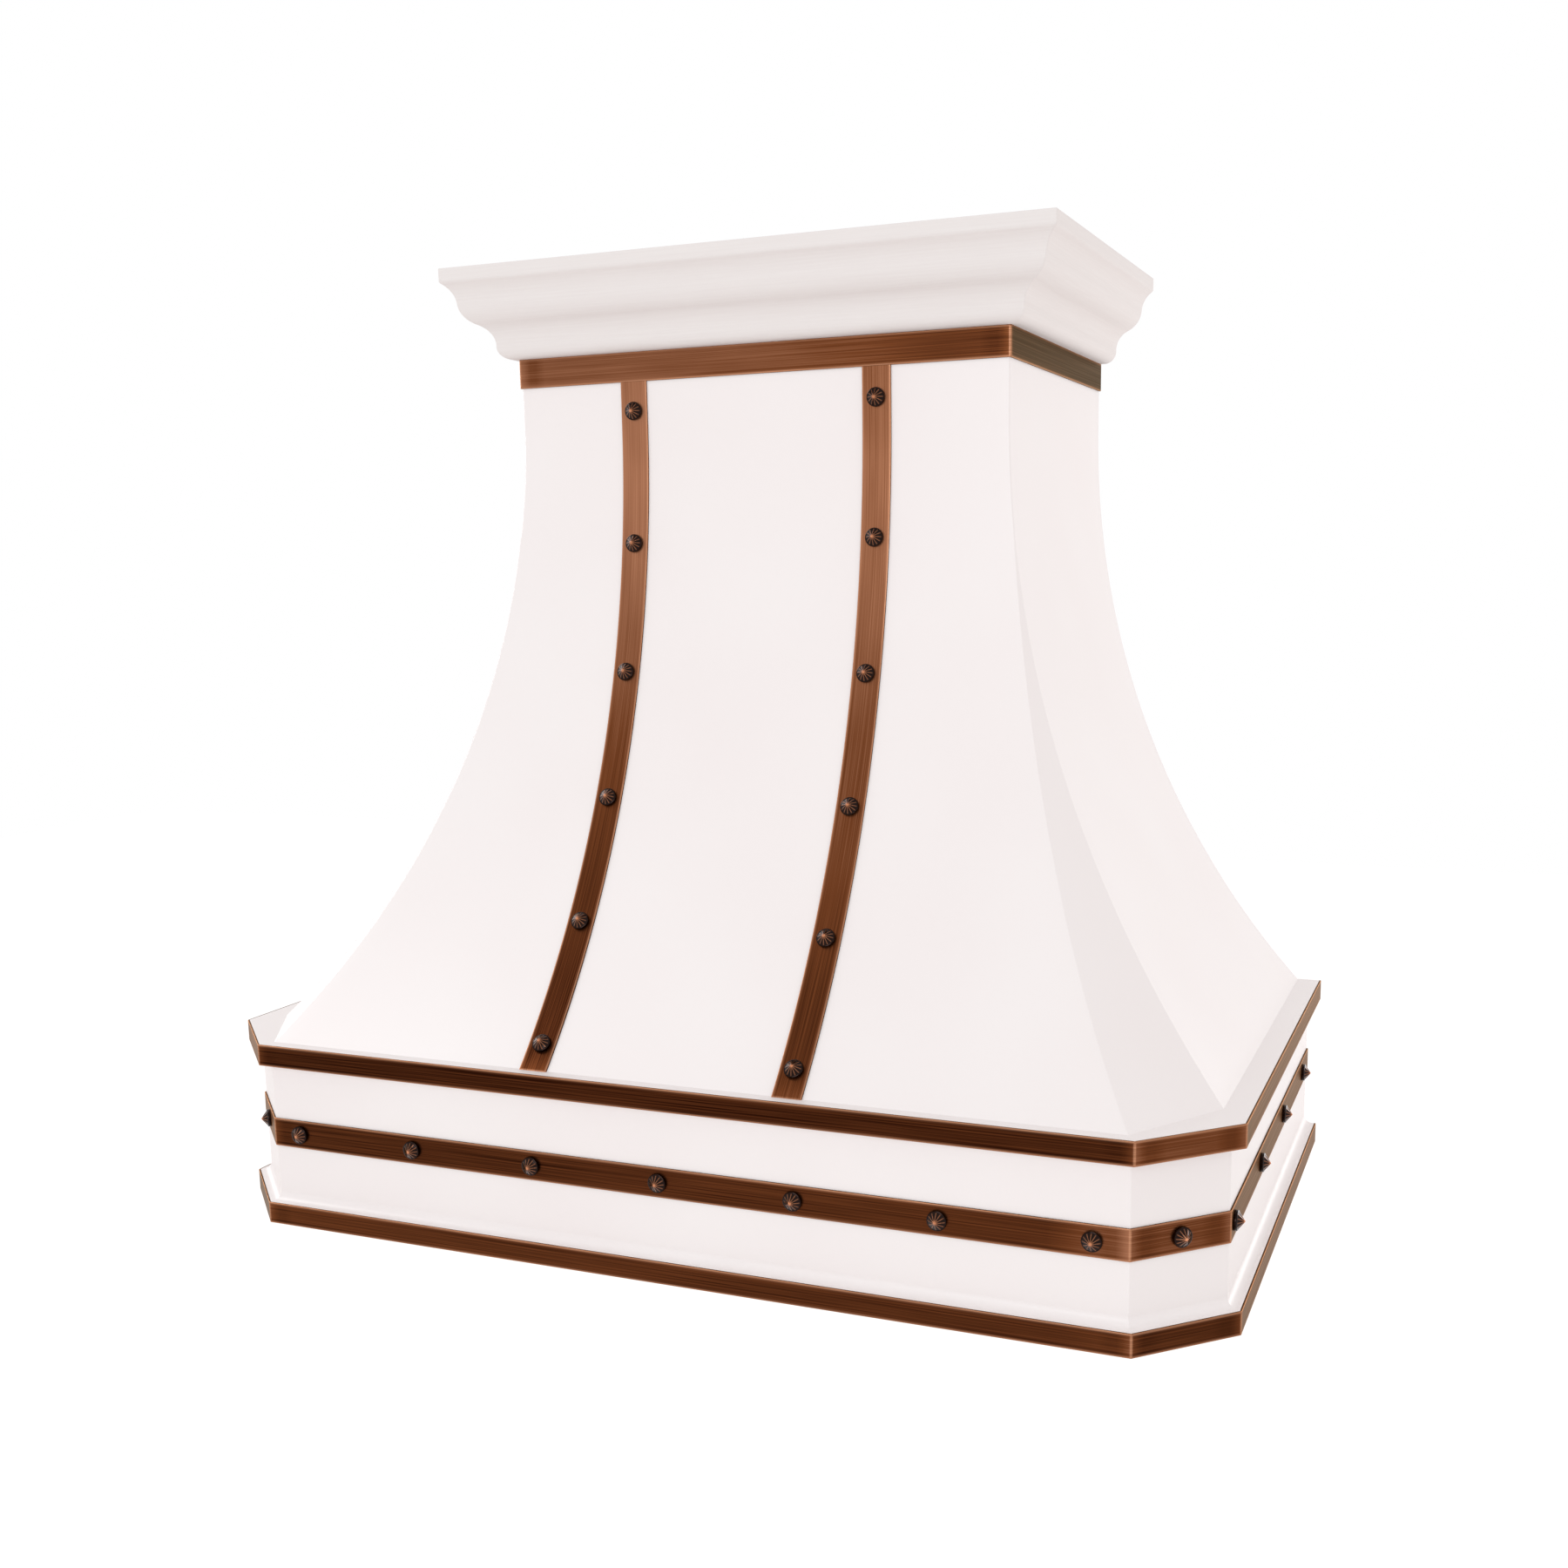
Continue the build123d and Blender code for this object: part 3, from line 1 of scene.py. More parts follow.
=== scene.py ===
"""Looks of the curved range hood.

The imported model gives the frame, the inside and the moving parts. This script puts worked surfaces
over the shell, the crown, the copper trim and the clavos, and gives every piece its finish.
Sizes are written in millimetres, and every mesh is made in metres. +Z is up, the wall is at +Y,
and left and right are as seen from the front.
"""

import json
import logging
from collections.abc import Callable
from dataclasses import dataclass, field
from enum import Enum

import bmesh
import bpy
import numpy as np
from mathutils import Matrix, Vector


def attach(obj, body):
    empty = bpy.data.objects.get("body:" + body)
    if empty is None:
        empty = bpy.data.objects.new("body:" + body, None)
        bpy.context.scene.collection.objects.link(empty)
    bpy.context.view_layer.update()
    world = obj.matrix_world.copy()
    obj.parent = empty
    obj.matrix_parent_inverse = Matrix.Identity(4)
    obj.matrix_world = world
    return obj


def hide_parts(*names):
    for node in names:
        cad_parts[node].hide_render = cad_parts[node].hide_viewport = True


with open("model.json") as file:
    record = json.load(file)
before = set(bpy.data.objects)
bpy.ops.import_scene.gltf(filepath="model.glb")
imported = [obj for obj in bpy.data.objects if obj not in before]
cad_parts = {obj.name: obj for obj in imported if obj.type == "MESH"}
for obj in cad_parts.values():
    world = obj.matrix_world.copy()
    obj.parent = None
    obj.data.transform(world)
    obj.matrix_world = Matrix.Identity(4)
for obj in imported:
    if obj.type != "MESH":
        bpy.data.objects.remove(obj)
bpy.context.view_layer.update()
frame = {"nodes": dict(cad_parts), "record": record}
MM = 0.001
log = logging.getLogger("range_hood")
Values = dict[str, np.ndarray]
Plan = Callable[[float, float], np.ndarray]


def linear(colour: str) -> tuple[float, float, float, float]:
    """Turns an sRGB hex colour into linear light with full alpha.

    Args:
        colour: Colour as "#rrggbb".

    Returns:
        Linear red, green, blue and alpha.
    """
    parts = np.array([int(colour[i:i + 2], 16) for i in (1, 3, 5)]) / 255
    light = np.where(parts <= 0.04045, parts / 12.92, ((parts + 0.055) / 1.055) ** 2.4)
    return (float(light[0]), float(light[1]), float(light[2]), 1.0)


def add_node(tree: bpy.types.NodeTree, kind: str, feeds: dict[str | int, object] | None = None,
             **settings: object) -> bpy.types.Node:
    """Adds one shader node with its settings and whatever feeds its inputs.

    Args:
        tree: Node tree that gets the node.
        kind: Node type, without the word ShaderNode in front.
        feeds: Input name or number, to an output socket or to a constant value.
        **settings: Attributes of the node, such as its operation.

    Returns:
        The new node.
    """
    node = tree.nodes.new("ShaderNode" + kind)
    for name, value in settings.items():
        setattr(node, name, value)
    for place, value in (feeds or {}).items():
        if isinstance(value, bpy.types.NodeSocket):
            tree.links.new(value, node.inputs[place])
        else:
            node.inputs[place].default_value = value
    return node


# Surfaces on grids


@dataclass(frozen=True)
class Skin:
    """A surface on a grid of rows and columns, whose last column joins its first.

    The columns run out along one side and come back along the other, so that column j lies across
    from column -1 - j, and the two ends close between such pairs.

    Attributes:
        points: Places in millimetres, rows by columns by 3.
        values: What the finish reads at each point: rows by columns, or rows by columns by 3.
        capped: Whether the first and the last row are closed.
    """

    points: np.ndarray
    values: Values = field(default_factory=dict)
    capped: bool = True

    def quads(self) -> np.ndarray:
        """Gives the corner numbers of the grid's quads and of the quads that close its ends.

        Returns:
            Whole numbers, quads by 4.
        """
        rows, columns = self.points.shape[:2]
        i, j = np.meshgrid(np.arange(rows - 1), np.arange(columns), indexing="ij")
        k = (j + 1) % columns
        sides = np.stack([i * columns + j, i * columns + k, (i + 1) * columns + k,
                          (i + 1) * columns + j], axis=-1).reshape(-1, 4)
        if not self.capped:
            return sides
        j = np.arange(columns // 2 - 1)
        cap = np.stack([j, j + 1, columns - 2 - j, columns - 1 - j], axis=-1)
        return np.concatenate([sides, cap[:, ::-1], cap + (rows - 1) * columns])


def paired(out: np.ndarray, back: np.ndarray) -> np.ndarray:
    """Joins the columns of one side and of the other into a loop: out, then back reversed.

    Args:
        out: Values on the side that the columns run out along; columns are the second axis.
        back: The matching values on the other side.

    Returns:
        Both in one array.
    """
    return np.concatenate([out, back[:, ::-1]], axis=1)


def make_piece(name: str, skins: list[Skin], sharp: float = 32.0) -> bpy.types.Object:
    """Makes one object of closed skins, with its points merged and its faces turned outwards.

    Args:
        name: Name of the object and of its mesh.
        skins: The closed surfaces that it has.
        sharp: Angle in degrees from which an edge between two faces stays sharp.

    Returns:
        The object, linked to the scene, at the origin.
    """
    starts = np.cumsum([0] + [skin.points[..., 0].size for skin in skins])
    places = np.concatenate([skin.points.reshape(-1, 3) for skin in skins]) * MM
    quads = np.concatenate([skin.quads() + start for skin, start in zip(skins, starts)])
    mesh = bpy.data.meshes.new(name)
    mesh.from_pydata(places, [], quads.tolist())
    for key in skins[0].values:
        flat = [skin.values[key].reshape(skin.points[..., 0].size, -1) for skin in skins]
        joined = np.concatenate(flat).astype(np.float32)
        vector = joined.shape[1] == 3
        attribute = mesh.attributes.new(key, "FLOAT_VECTOR" if vector else "FLOAT", "POINT")
        attribute.data.foreach_set("vector" if vector else "value", joined.ravel())
    work = bmesh.new()
    work.from_mesh(mesh)
    bmesh.ops.remove_doubles(work, verts=work.verts, dist=1e-6)
    bmesh.ops.dissolve_degenerate(work, edges=work.edges, dist=1e-7)
    bmesh.ops.recalc_face_normals(work, faces=work.faces)
    work.to_mesh(mesh)
    work.free()
    mesh.shade_smooth()
    mesh.set_sharp_from_angle(angle=np.radians(sharp))
    piece = bpy.data.objects.new(name, mesh)
    bpy.context.scene.collection.objects.link(piece)
    return piece


# Plan outlines and the paths round them


class Outline(Enum):
    """The plan outlines that strips and sheets follow, from wall to wall round the front.

    Each value holds the directions, in degrees, that the outline's straight runs face.
    """

    LEDGE = (180, 225, 270, 315, 360)
    CHIMNEY = (180, 270, 360)


@dataclass(frozen=True)
class Path:
    """A path with folded corners, traced once for each point of a profile.

    Attributes:
        places: Plan points in millimetres: profile points by path points by 2.
        along: Distance along the path of each path point.
        from_fold: Distance of each path point from the nearest fold.
        folds: Number of the path point at the middle of each fold.
    """

    places: np.ndarray
    along: np.ndarray
    from_fold: np.ndarray
    folds: list[int]

    @property
    def parts(self) -> dict[str, slice]:
        """Rows of the left, front and right parts, which meet at the outermost folds.

        Returns:
            Slices of the path points, named left, front and right.
        """
        first, last = self.folds[0], self.folds[-1]
        return {"left": slice(0, first + 1), "front": slice(first, last + 1),
                "right": slice(last, len(self.along))}


@dataclass(frozen=True)
class Hood:
    """The sizes that several sub-assemblies share, in millimetres."""

    width: float = 914.4
    depth: float = 546.1
    corner_leg: float = 68.3
    chimney_half: float = 229.0
    chimney_setback: float = 230.0
    ledge_band: float = 19.05
    ledge_top: float = 165.1
    apron_setback: float = 11.6
    crown_bottom: float = 762.0
    middle_band: float = 25.4
    top_band: float = 25.4
    top: float = 838.2
    sheet: float = 1.5
    copper: float = 1.6
    seam: float = 0.1
    least_fold: float = 0.05

    @property
    def wall_y(self) -> float:
        """Where the wall is."""
        return self.depth / 2

    @property
    def chimney_y(self) -> float:
        """Where the chimney's front face is."""
        return self.chimney_setback - self.depth / 2

    def corners(self, outline: Outline, setback: np.ndarray) -> np.ndarray:
        """Gives an outline's corners, moved in by each setback (outwards where it is negative).

        Args:
            outline: Which outline.
            setback: Setbacks in millimetres.

        Returns:
            Plan points: setbacks by corners by 2.
        """
        s = np.asarray(setback, float)
        wall = np.full_like(s, self.wall_y)
        if outline is Outline.CHIMNEY:
            half, front = self.chimney_half - s, self.chimney_y + s
            x = [-half, -half, half, half]
            y = [wall, front, front, wall]
        else:
            half, front = self.width / 2 - s, s - self.depth / 2
            leg = self.corner_leg - s * (2 - np.sqrt(2))
            x = [-half, -half, leg - half, half - leg, half, half]
            y = [wall, front + leg, front, front, front + leg, wall]
        return np.stack([np.stack(x, axis=-1), np.stack(y, axis=-1)], axis=-1)

    def path(self, outline: Outline, setback: np.ndarray, fold: np.ndarray,
             step: float = 9.0, fold_steps: int = 8) -> Path:
        """Traces an outline once for each setback, with its corners folded to a radius.

        A straight run goes from tangent point to tangent point, closer together near its ends. A
        fold's centre is the corner moved in by radius * (way a + way b) / (1 + way a . way b), and
        its points lie at centre + radius * (cos t, sin t), with t from way a to way b.

        Args:
            outline: Which outline.
            setback: Setback of each profile point.
            fold: Fold radius of each profile point.
            step: Rough distance between points on a straight run.
            fold_steps: Steps in a fold, an even number.

        Returns:
            The traced path.
        """
        corners = self.corners(outline, setback)
        angles = np.radians(outline.value)
        ways = np.stack([np.cos(angles), np.sin(angles)], axis=-1)
        radius = np.asarray(fold, float)[:, None]
        runs = len(ways)
        centres = [inner - radius * (a + b) / (1 + a @ b)
                   for inner, a, b in zip(np.swapaxes(corners, 0, 1)[1:], ways, ways[1:])]
        close, margin = np.array([0.0, 0.8, 1.6, 3.0, 6.0, 10.0]), 16.0
        parts, distances, folds, count = [], [], [], 0
        for n in range(runs):
            start = corners[:, 0] if n == 0 else centres[n - 1] + radius * ways[n]
            end = corners[:, -1] if n == runs - 1 else centres[n] + radius * ways[n]
            length = float(np.linalg.norm(end[0] - start[0]))
            middle = np.linspace(margin, length - margin,
                                 max(2, round((length - 2 * margin) / step)))
            t = np.concatenate([close, middle, (length - close)[::-1]]) / length
            parts.append(start[:, None] + (end - start)[:, None] * t[None, :, None])
            near = [length * t if n else np.inf, length * (1 - t) if n < runs - 1 else np.inf]
            distances.append(np.minimum(near[0], near[1]))
            count += len(t)
            if n < runs - 1:
                turn = np.linspace(angles[n], angles[n + 1], fold_steps + 1)[1:-1]
                round_it = np.stack([np.cos(turn), np.sin(turn)], axis=-1)
                parts.append(centres[n][:, None] + radius[:, None] * round_it[None])
                distances.append(np.zeros(len(turn)))
                folds.append(count + len(turn) // 2)
                count += len(turn)
        places = np.concatenate(parts, axis=1)
        moved = np.linalg.norm(np.diff(places[0], axis=0), axis=-1)
        return Path(places, np.concatenate([[0.0], np.cumsum(moved)]), np.concatenate(distances),
                    folds)


@dataclass(frozen=True)
class Profile:
    """A closed cross-section whose columns run out and come back in pairs, in millimetres.

    Attributes:
        place: Distance of each point across the piece, or its height.
        depth: Distance of each point behind the piece's outer face.
        wear: How far each point's finish is worn, from 0 to 1.
    """

    place: np.ndarray
    depth: np.ndarray
    wear: np.ndarray

    @property
    def across(self) -> np.ndarray:
        """Distance round the section, on which brushing and brush marks lie."""
        moved = np.hypot(np.diff(self.place), np.diff(self.depth))
        return np.concatenate([[0.0], np.cumsum(moved)])


def strip_profile(width: float, thickness: float, ease: float) -> Profile:
    """Gives a flat strip's section, whose two outer edges are eased to a quarter circle.

    A point of an eased edge lies at (ease - ease * cos t, ease - ease * sin t), as t goes from 0
    to 90 degrees. Wear is full on the eased edges and dies off over two millimetres of the face.

    Args:
        width: Width of the strip.
        thickness: Its thickness.
        ease: Radius of the eased edges.

    Returns:
        The section, with its place from 0 to width.
    """
    t = np.linspace(0, np.pi / 2, 5)
    edge_place, edge_depth = ease - ease * np.cos(t), ease - ease * np.sin(t)
    face = ease + np.array([0.35, 0.8, 1.4, 2.2])
    middle = np.linspace(face[-1], width - face[-1], 9)[1:-1]
    half = np.concatenate([[0.0], edge_place, face])
    place = np.concatenate([half, middle, width - half[::-1]])
    flat = np.zeros(len(face))
    half_depth = np.concatenate([[(ease + thickness) / 2], edge_depth, flat])
    depth = np.concatenate([half_depth, np.zeros(len(middle)), half_depth[::-1]])
    half_wear = np.concatenate([[0.0, 0.3], np.full(4, 1.0), [0.8, 0.35, 0.1, 0.0]])
    wear = np.concatenate([half_wear, np.zeros(len(middle)), half_wear[::-1]])
    return Profile(np.concatenate([place, place[::-1]]),
                   np.concatenate([depth, np.full(len(place), thickness)]),
                   np.concatenate([wear, np.zeros(len(place))]))


def carry(profile: Profile, path: Path, low: float) -> np.ndarray:
    """Carries a section round a path: path points by section points by 3.

    Args:
        profile: The section, whose place is a height over low.
        path: A path traced once for each of its points.
        low: Height where the section starts.

    Returns:
        Points in millimetres.
    """
    plan = np.swapaxes(path.places, 0, 1)
    height = np.broadcast_to(low + profile.place, plan.shape[:2])
    return np.concatenate([plan, height[..., None]], axis=-1)


def strip_values(profile: Profile, along: np.ndarray) -> Values:
    """Gives the place of each point along and across a piece, in metres, and its wear.

    Args:
        profile: The section.
        along: Distance of each row along the piece, in millimetres.

    Returns:
        Values named strip (along, across, 0) and wear.
    """
    rows, columns = len(along), len(profile.place)
    strip = np.zeros((rows, columns, 3))
    strip[..., 0] = along[:, None] * MM
    strip[..., 1] = profile.across[None, :] * MM
    return {"strip": strip, "wear": np.broadcast_to(profile.wear, (rows, columns)).copy()}


# Finishes


@dataclass(frozen=True)
class Finish:
    """A real finish. Each kind paints its own nodes, and its material is made once."""

    name: str

    def paint(self, tree: bpy.types.NodeTree) -> bpy.types.Node:
        """Adds the nodes of the finish and returns its shader."""
        raise NotImplementedError

    def material(self) -> bpy.types.Material:
        """Gives the finish's material, and makes it the first time.

        Returns:
            The material.
        """
        made = bpy.data.materials.get(self.name)
        if made is None:
            made = bpy.data.materials.new(self.name)
            made.use_nodes = True
            made.node_tree.nodes.clear()
            shader = self.paint(made.node_tree)
            add_node(made.node_tree, "OutputMaterial", {"Surface": shader.outputs[0]})
        return made


@dataclass(frozen=True)
class SprayedEnamel(Finish):
    """White enamel sprayed on steel: satin, with a faint orange peel and hardly any cloudiness."""

    low: str = "#f2eae9"
    high: str = "#f6f1f0"
    peel_mm: float = 1.4
    cloud_mm: float = 160.0

    def paint(self, tree: bpy.types.NodeTree) -> bpy.types.Node:
        """Peel is a fine noise as bump, and clouds are a broad noise between two whites.

        Args:
            tree: The material's node tree.

        Returns:
            The finish's shader node.
        """
        place = add_node(tree, "TexCoord").outputs["Object"]
        cloud = add_node(tree, "TexNoise", {"Vector": place, "Scale": 1 / (self.cloud_mm * MM),
                                            "Detail": 1.0})
        colour = add_node(tree, "Mix", {0: cloud.outputs[0], 6: linear(self.low),
                                        7: linear(self.high)}, data_type="RGBA")
        peel = add_node(tree, "TexNoise", {"Vector": place, "Scale": 1 / (self.peel_mm * MM),
                                           "Detail": 1.5})
        gloss = add_node(tree, "MapRange", {"Value": peel.outputs[0], "To Min": 0.38,
                                            "To Max": 0.46})
        bump = add_node(tree, "Bump", {"Height": peel.outputs[0], "Strength": 0.25,
                                       "Distance": 0.02 * MM})
        return add_node(tree, "BsdfPrincipled", {
            "Base Color": colour.outputs[2], "Roughness": gloss.outputs[0],
            "Normal": bump.outputs[0], "Coat Weight": 0.08, "Coat Roughness": 0.2})


@dataclass(frozen=True)
class BrushedPaint(Finish):
    """Matt white paint on a wooden moulding: faint brush marks run along it."""

    low: str = "#e7e0de"
    high: str = "#ede8e6"
    mark_mm: float = 1.6
    mark_length_mm: float = 70.0

    def paint(self, tree: bpy.types.NodeTree) -> bpy.types.Node:
        """Brush marks are a noise drawn out along the moulding, as colour and bump.

        Args:
            tree: The material's node tree.

        Returns:
            The finish's shader node.
        """
        strip = add_node(tree, "Attribute", attribute_name="strip").outputs["Vector"]
        drawn = add_node(tree, "VectorMath", {0: strip, 1: (
            1 / (self.mark_length_mm * MM), 1 / (self.mark_mm * MM), 1)}, operation="MULTIPLY")
        marks = add_node(tree, "TexNoise", {"Vector": drawn.outputs[0], "Scale": 1.0,
                                            "Detail": 2.0})
        colour = add_node(tree, "Mix", {0: marks.outputs[0], 6: linear(self.low),
                                        7: linear(self.high)}, data_type="RGBA")
        place = add_node(tree, "TexCoord").outputs["Object"]
        tooth = add_node(tree, "TexNoise", {"Vector": place, "Scale": 1 / (0.8 * MM),
                                            "Detail": 1.0})
        height = add_node(tree, "Math", {0: marks.outputs[0], 1: tooth.outputs[0]},
                          operation="ADD")
        bump = add_node(tree, "Bump", {"Height": height.outputs[0], "Strength": 0.3,
                                       "Distance": 0.03 * MM})
        return add_node(tree, "BsdfPrincipled", {
            "Base Color": colour.outputs[2], "Roughness": 0.72, "Normal": bump.outputs[0]})


@dataclass(frozen=True)
class AntiqueCopper(Finish):
    """Copper with a dark chemical patina, brushed back along its length.

    The brushing leaves bright streaks in the dark, and the eased edges and folds are rubbed to
    bare copper. Real brush lines are 0.1 to 0.3 mm apart: they are drawn about 1 mm apart, with
    finer ones at half that, because nothing finer shows at this distance. The patina also dulls
    what the metal reflects at a slant, which its specular tint gives.
    """

    dark: str = "#280e05"
    brown: str = "#68391f"
    bare: str = "#ba8162"
    rubbed: str = "#cd9472"
    slant: str = "#e6d8c6"
    brown_at: float = 0.3
    streak_mm: float = 1.1
    streak_length_mm: float = 240.0
    streak_depth: float = 0.12
    blotch_mm: float = 40.0

    def paint(self, tree: bpy.types.NodeTree) -> bpy.types.Node:
        """Bareness with streaks and blotches picks dark, brown or bare, and wear rubs it.

        Args:
            tree: The material's node tree.

        Returns:
            The finish's shader node.
        """
        strip = add_node(tree, "Attribute", attribute_name="strip").outputs["Vector"]
        # bareness_and_sheen: partly the patina's own tone, partly painted reflection by stretch
        bareness_and_sheen = add_node(tree, "Attribute", attribute_name="bareness_and_sheen").outputs["Fac"]
        wear = add_node(tree, "Attribute", attribute_name="wear").outputs["Fac"]
        noises = []
        for long, wide, detail in ((self.streak_length_mm, self.streak_mm, 2.0),
                                   (self.streak_length_mm / 3, self.streak_mm / 2, 2.0),
                                   (self.blotch_mm * 2, self.blotch_mm / 2, 1.0)):
            drawn = add_node(tree, "VectorMath", {0: strip, 1: (
                1 / (long * MM), 1 / (wide * MM), 1)}, operation="MULTIPLY")
            noises.append(add_node(tree, "TexNoise", {"Vector": drawn.outputs[0], "Scale": 1.0,
                                                      "Detail": detail}).outputs[0])
        both = add_node(tree, "Math", {0: noises[1], 1: 0.5, 2: noises[0]},
                        operation="MULTIPLY_ADD")
        streaks = add_node(tree, "MapRange", {"Value": both.outputs[0], "From Min": 0.5,
                                              "From Max": 1.0, "To Min": -self.streak_depth,
                                              "To Max": self.streak_depth})
        blotches = add_node(tree, "MapRange", {"Value": noises[2], "From Min": 0.3,
                                               "From Max": 0.7, "To Min": 0.92, "To Max": 1.08})
        streaked = add_node(tree, "Math", {0: bareness_and_sheen, 1: streaks.outputs[0]}, operation="ADD")
        share = add_node(tree, "Math", {0: streaked.outputs[0], 1: blotches.outputs[0]},
                         operation="MULTIPLY", use_clamp=True)
        low = add_node(tree, "MapRange", {"Value": share.outputs[0], "From Max": self.brown_at})
        high = add_node(tree, "MapRange", {"Value": share.outputs[0], "From Min": self.brown_at})
        browned = add_node(tree, "Mix", {0: low.outputs[0], 6: linear(self.dark),
                                         7: linear(self.brown)}, data_type="RGBA")
        colour = add_node(tree, "Mix", {0: high.outputs[0], 6: browned.outputs[2],
                                        7: linear(self.bare)}, data_type="RGBA")
        rub = add_node(tree, "MapRange", {"Value": both.outputs[0], "From Min": 0.5,
                                          "From Max": 1.0, "To Min": 0.35, "To Max": 0.75})
        rubbed = add_node(tree, "Math", {0: wear, 1: rub.outputs[0]}, operation="MULTIPLY",
                          use_clamp=True)
        worn = add_node(tree, "Mix", {0: rubbed.outputs[0], 6: colour.outputs[2],
                                      7: linear(self.rubbed)}, data_type="RGBA")
        gloss = add_node(tree, "MapRange", {"Value": noises[0], "From Min": 0.3, "From Max": 0.7,
                                            "To Min": 0.42, "To Max": 0.32})
        bump = add_node(tree, "Bump", {"Height": both.outputs[0], "Strength": 0.3,
                                       "Distance": 0.03 * MM})
        return add_node(tree, "BsdfPrincipled", {
            "Base Color": worn.outputs[2], "Metallic": 1.0, "Roughness": gloss.outputs[0],
            "Specular Tint": linear(self.slant), "Normal": bump.outputs[0]})


@dataclass(frozen=True)
class ForgedCopper(Finish):
    """Stamped copper clavos: nearly black in their facets, rubbed bright on ridges and tips.

    A thin clear lacquer over the patina gives the facets that face a lamp a grey gleam.
    """

    dark: str = "#1c0b06"
    rubbed: str = "#d28a62"
    grain_mm: float = 0.9

    def paint(self, tree: bpy.types.NodeTree) -> bpy.types.Node:
        """Wear on the ridges, broken up by a fine noise, mixes bare copper into the patina.

        Args:
            tree: The material's node tree.

        Returns:
            The finish's shader node.
        """
        wear = add_node(tree, "Attribute", attribute_name="wear").outputs["Fac"]
        place = add_node(tree, "TexCoord").outputs["Object"]
        grain = add_node(tree, "TexNoise", {"Vector": place, "Scale": 1 / (self.grain_mm * MM),
                                            "Detail": 2.0})
        broken = add_node(tree, "MapRange", {"Value": grain.outputs[0], "From Min": 0.3,
                                             "From Max": 0.7, "To Min": 0.6, "To Max": 1.2})
        rub = add_node(tree, "Math", {0: wear, 1: broken.outputs[0]}, operation="MULTIPLY",
                       use_clamp=True)
        colour = add_node(tree, "Mix", {0: rub.outputs[0], 6: linear(self.dark),
                                        7: linear(self.rubbed)}, data_type="RGBA")
        gloss = add_node(tree, "MapRange", {"Value": grain.outputs[0], "To Min": 0.12,
                                            "To Max": 0.22})
        bump = add_node(tree, "Bump", {"Height": grain.outputs[0], "Strength": 0.15,
                                       "Distance": 0.02 * MM})
        return add_node(tree, "BsdfPrincipled", {
            "Base Color": colour.outputs[2], "Metallic": 1.0, "Roughness": gloss.outputs[0],
            "Normal": bump.outputs[0], "Coat Weight": 0.2, "Coat Roughness": 0.1})


class Grain(Enum):
    """Which way a sheet was brushed or a bar was ground."""

    ALONG_X = (1, 0, 0)
    ALONG_Y = (0, 1, 0)


@dataclass(frozen=True)
class BrushedMetal(Finish):
    """Bare metal with straight brush or grinding lines, which stretch its reflections.

    Real lines are about 0.1 mm apart: they are drawn 0.7 mm apart, so that they show.
    """

    low: str = "#a9a8a5"
    high: str = "#c8c7c4"
    grain: Grain = Grain.ALONG_X
    line_mm: float = 0.7
    line_length_mm: float = 45.0
    smooth: float = 0.26
    rough: float = 0.4

    def paint(self, tree: bpy.types.NodeTree) -> bpy.types.Node:
        """Lines are a noise drawn out along the grain, as colour, roughness and bump.

        Args:
            tree: The material's node tree.

        Returns:
            The finish's shader node.
        """
        place = add_node(tree, "TexCoord").outputs["Object"]
        scale = [1 / ((self.line_length_mm if along else self.line_mm) * MM)
                 for along in self.grain.value]
        drawn = add_node(tree, "VectorMath", {0: place, 1: scale}, operation="MULTIPLY")
        lines = add_node(tree, "TexNoise", {"Vector": drawn.outputs[0], "Scale": 1.0,
                                            "Detail": 2.0})
        colour = add_node(tree, "Mix", {0: lines.outputs[0], 6: linear(self.low),
                                        7: linear(self.high)}, data_type="RGBA")
        gloss = add_node(tree, "MapRange", {"Value": lines.outputs[0], "From Min": 0.3,
                                            "From Max": 0.7, "To Min": self.smooth,
                                            "To Max": self.rough})
        bump = add_node(tree, "Bump", {"Height": lines.outputs[0], "Strength": 0.25,
                                       "Distance": 0.02 * MM})
        return add_node(tree, "BsdfPrincipled", {
            "Base Color": colour.outputs[2], "Metallic": 1.0, "Roughness": gloss.outputs[0],
            "Normal": bump.outputs[0]})


@dataclass(frozen=True)
class HotDipZinc(Finish):
    """Galvanised sheet: zinc crystals about 9 mm across, each with its own grey and gloss."""

    low: str = "#8e9397"
    high: str = "#b3b7ba"
    crystal_mm: float = 9.0

    def paint(self, tree: bpy.types.NodeTree) -> bpy.types.Node:
        """Crystals are Voronoi cells, and a fine noise frosts each of them.

        Args:
            tree: The material's node tree.

        Returns:
            The finish's shader node.
        """
        place = add_node(tree, "TexCoord").outputs["Object"]
        cells = add_node(tree, "TexVoronoi", {"Vector": place,
                                              "Scale": 1 / (self.crystal_mm * MM)})
        frost = add_node(tree, "TexNoise", {"Vector": place, "Scale": 1 / (1.2 * MM),
                                            "Detail": 2.0})
        parts = add_node(tree, "SeparateColor", {0: cells.outputs["Color"]})
        tone = add_node(tree, "Math", {0: frost.outputs[0], 1: 0.5, 2: parts.outputs[0]},
                        operation="MULTIPLY_ADD")
        share = add_node(tree, "MapRange", {"Value": tone.outputs[0], "From Max": 1.5})
        colour = add_node(tree, "Mix", {0: share.outputs[0], 6: linear(self.low),
                                        7: linear(self.high)}, data_type="RGBA")
        gloss = add_node(tree, "MapRange", {"Value": parts.outputs[1], "To Min": 0.34,
                                            "To Max": 0.55})
        bump = add_node(tree, "Bump", {"Height": cells.outputs["Distance"], "Strength": 0.12,
                                       "Distance": 0.1 * MM})
        return add_node(tree, "BsdfPrincipled", {
            "Base Color": colour.outputs[2], "Metallic": 1.0, "Roughness": gloss.outputs[0],
            "Normal": bump.outputs[0]})


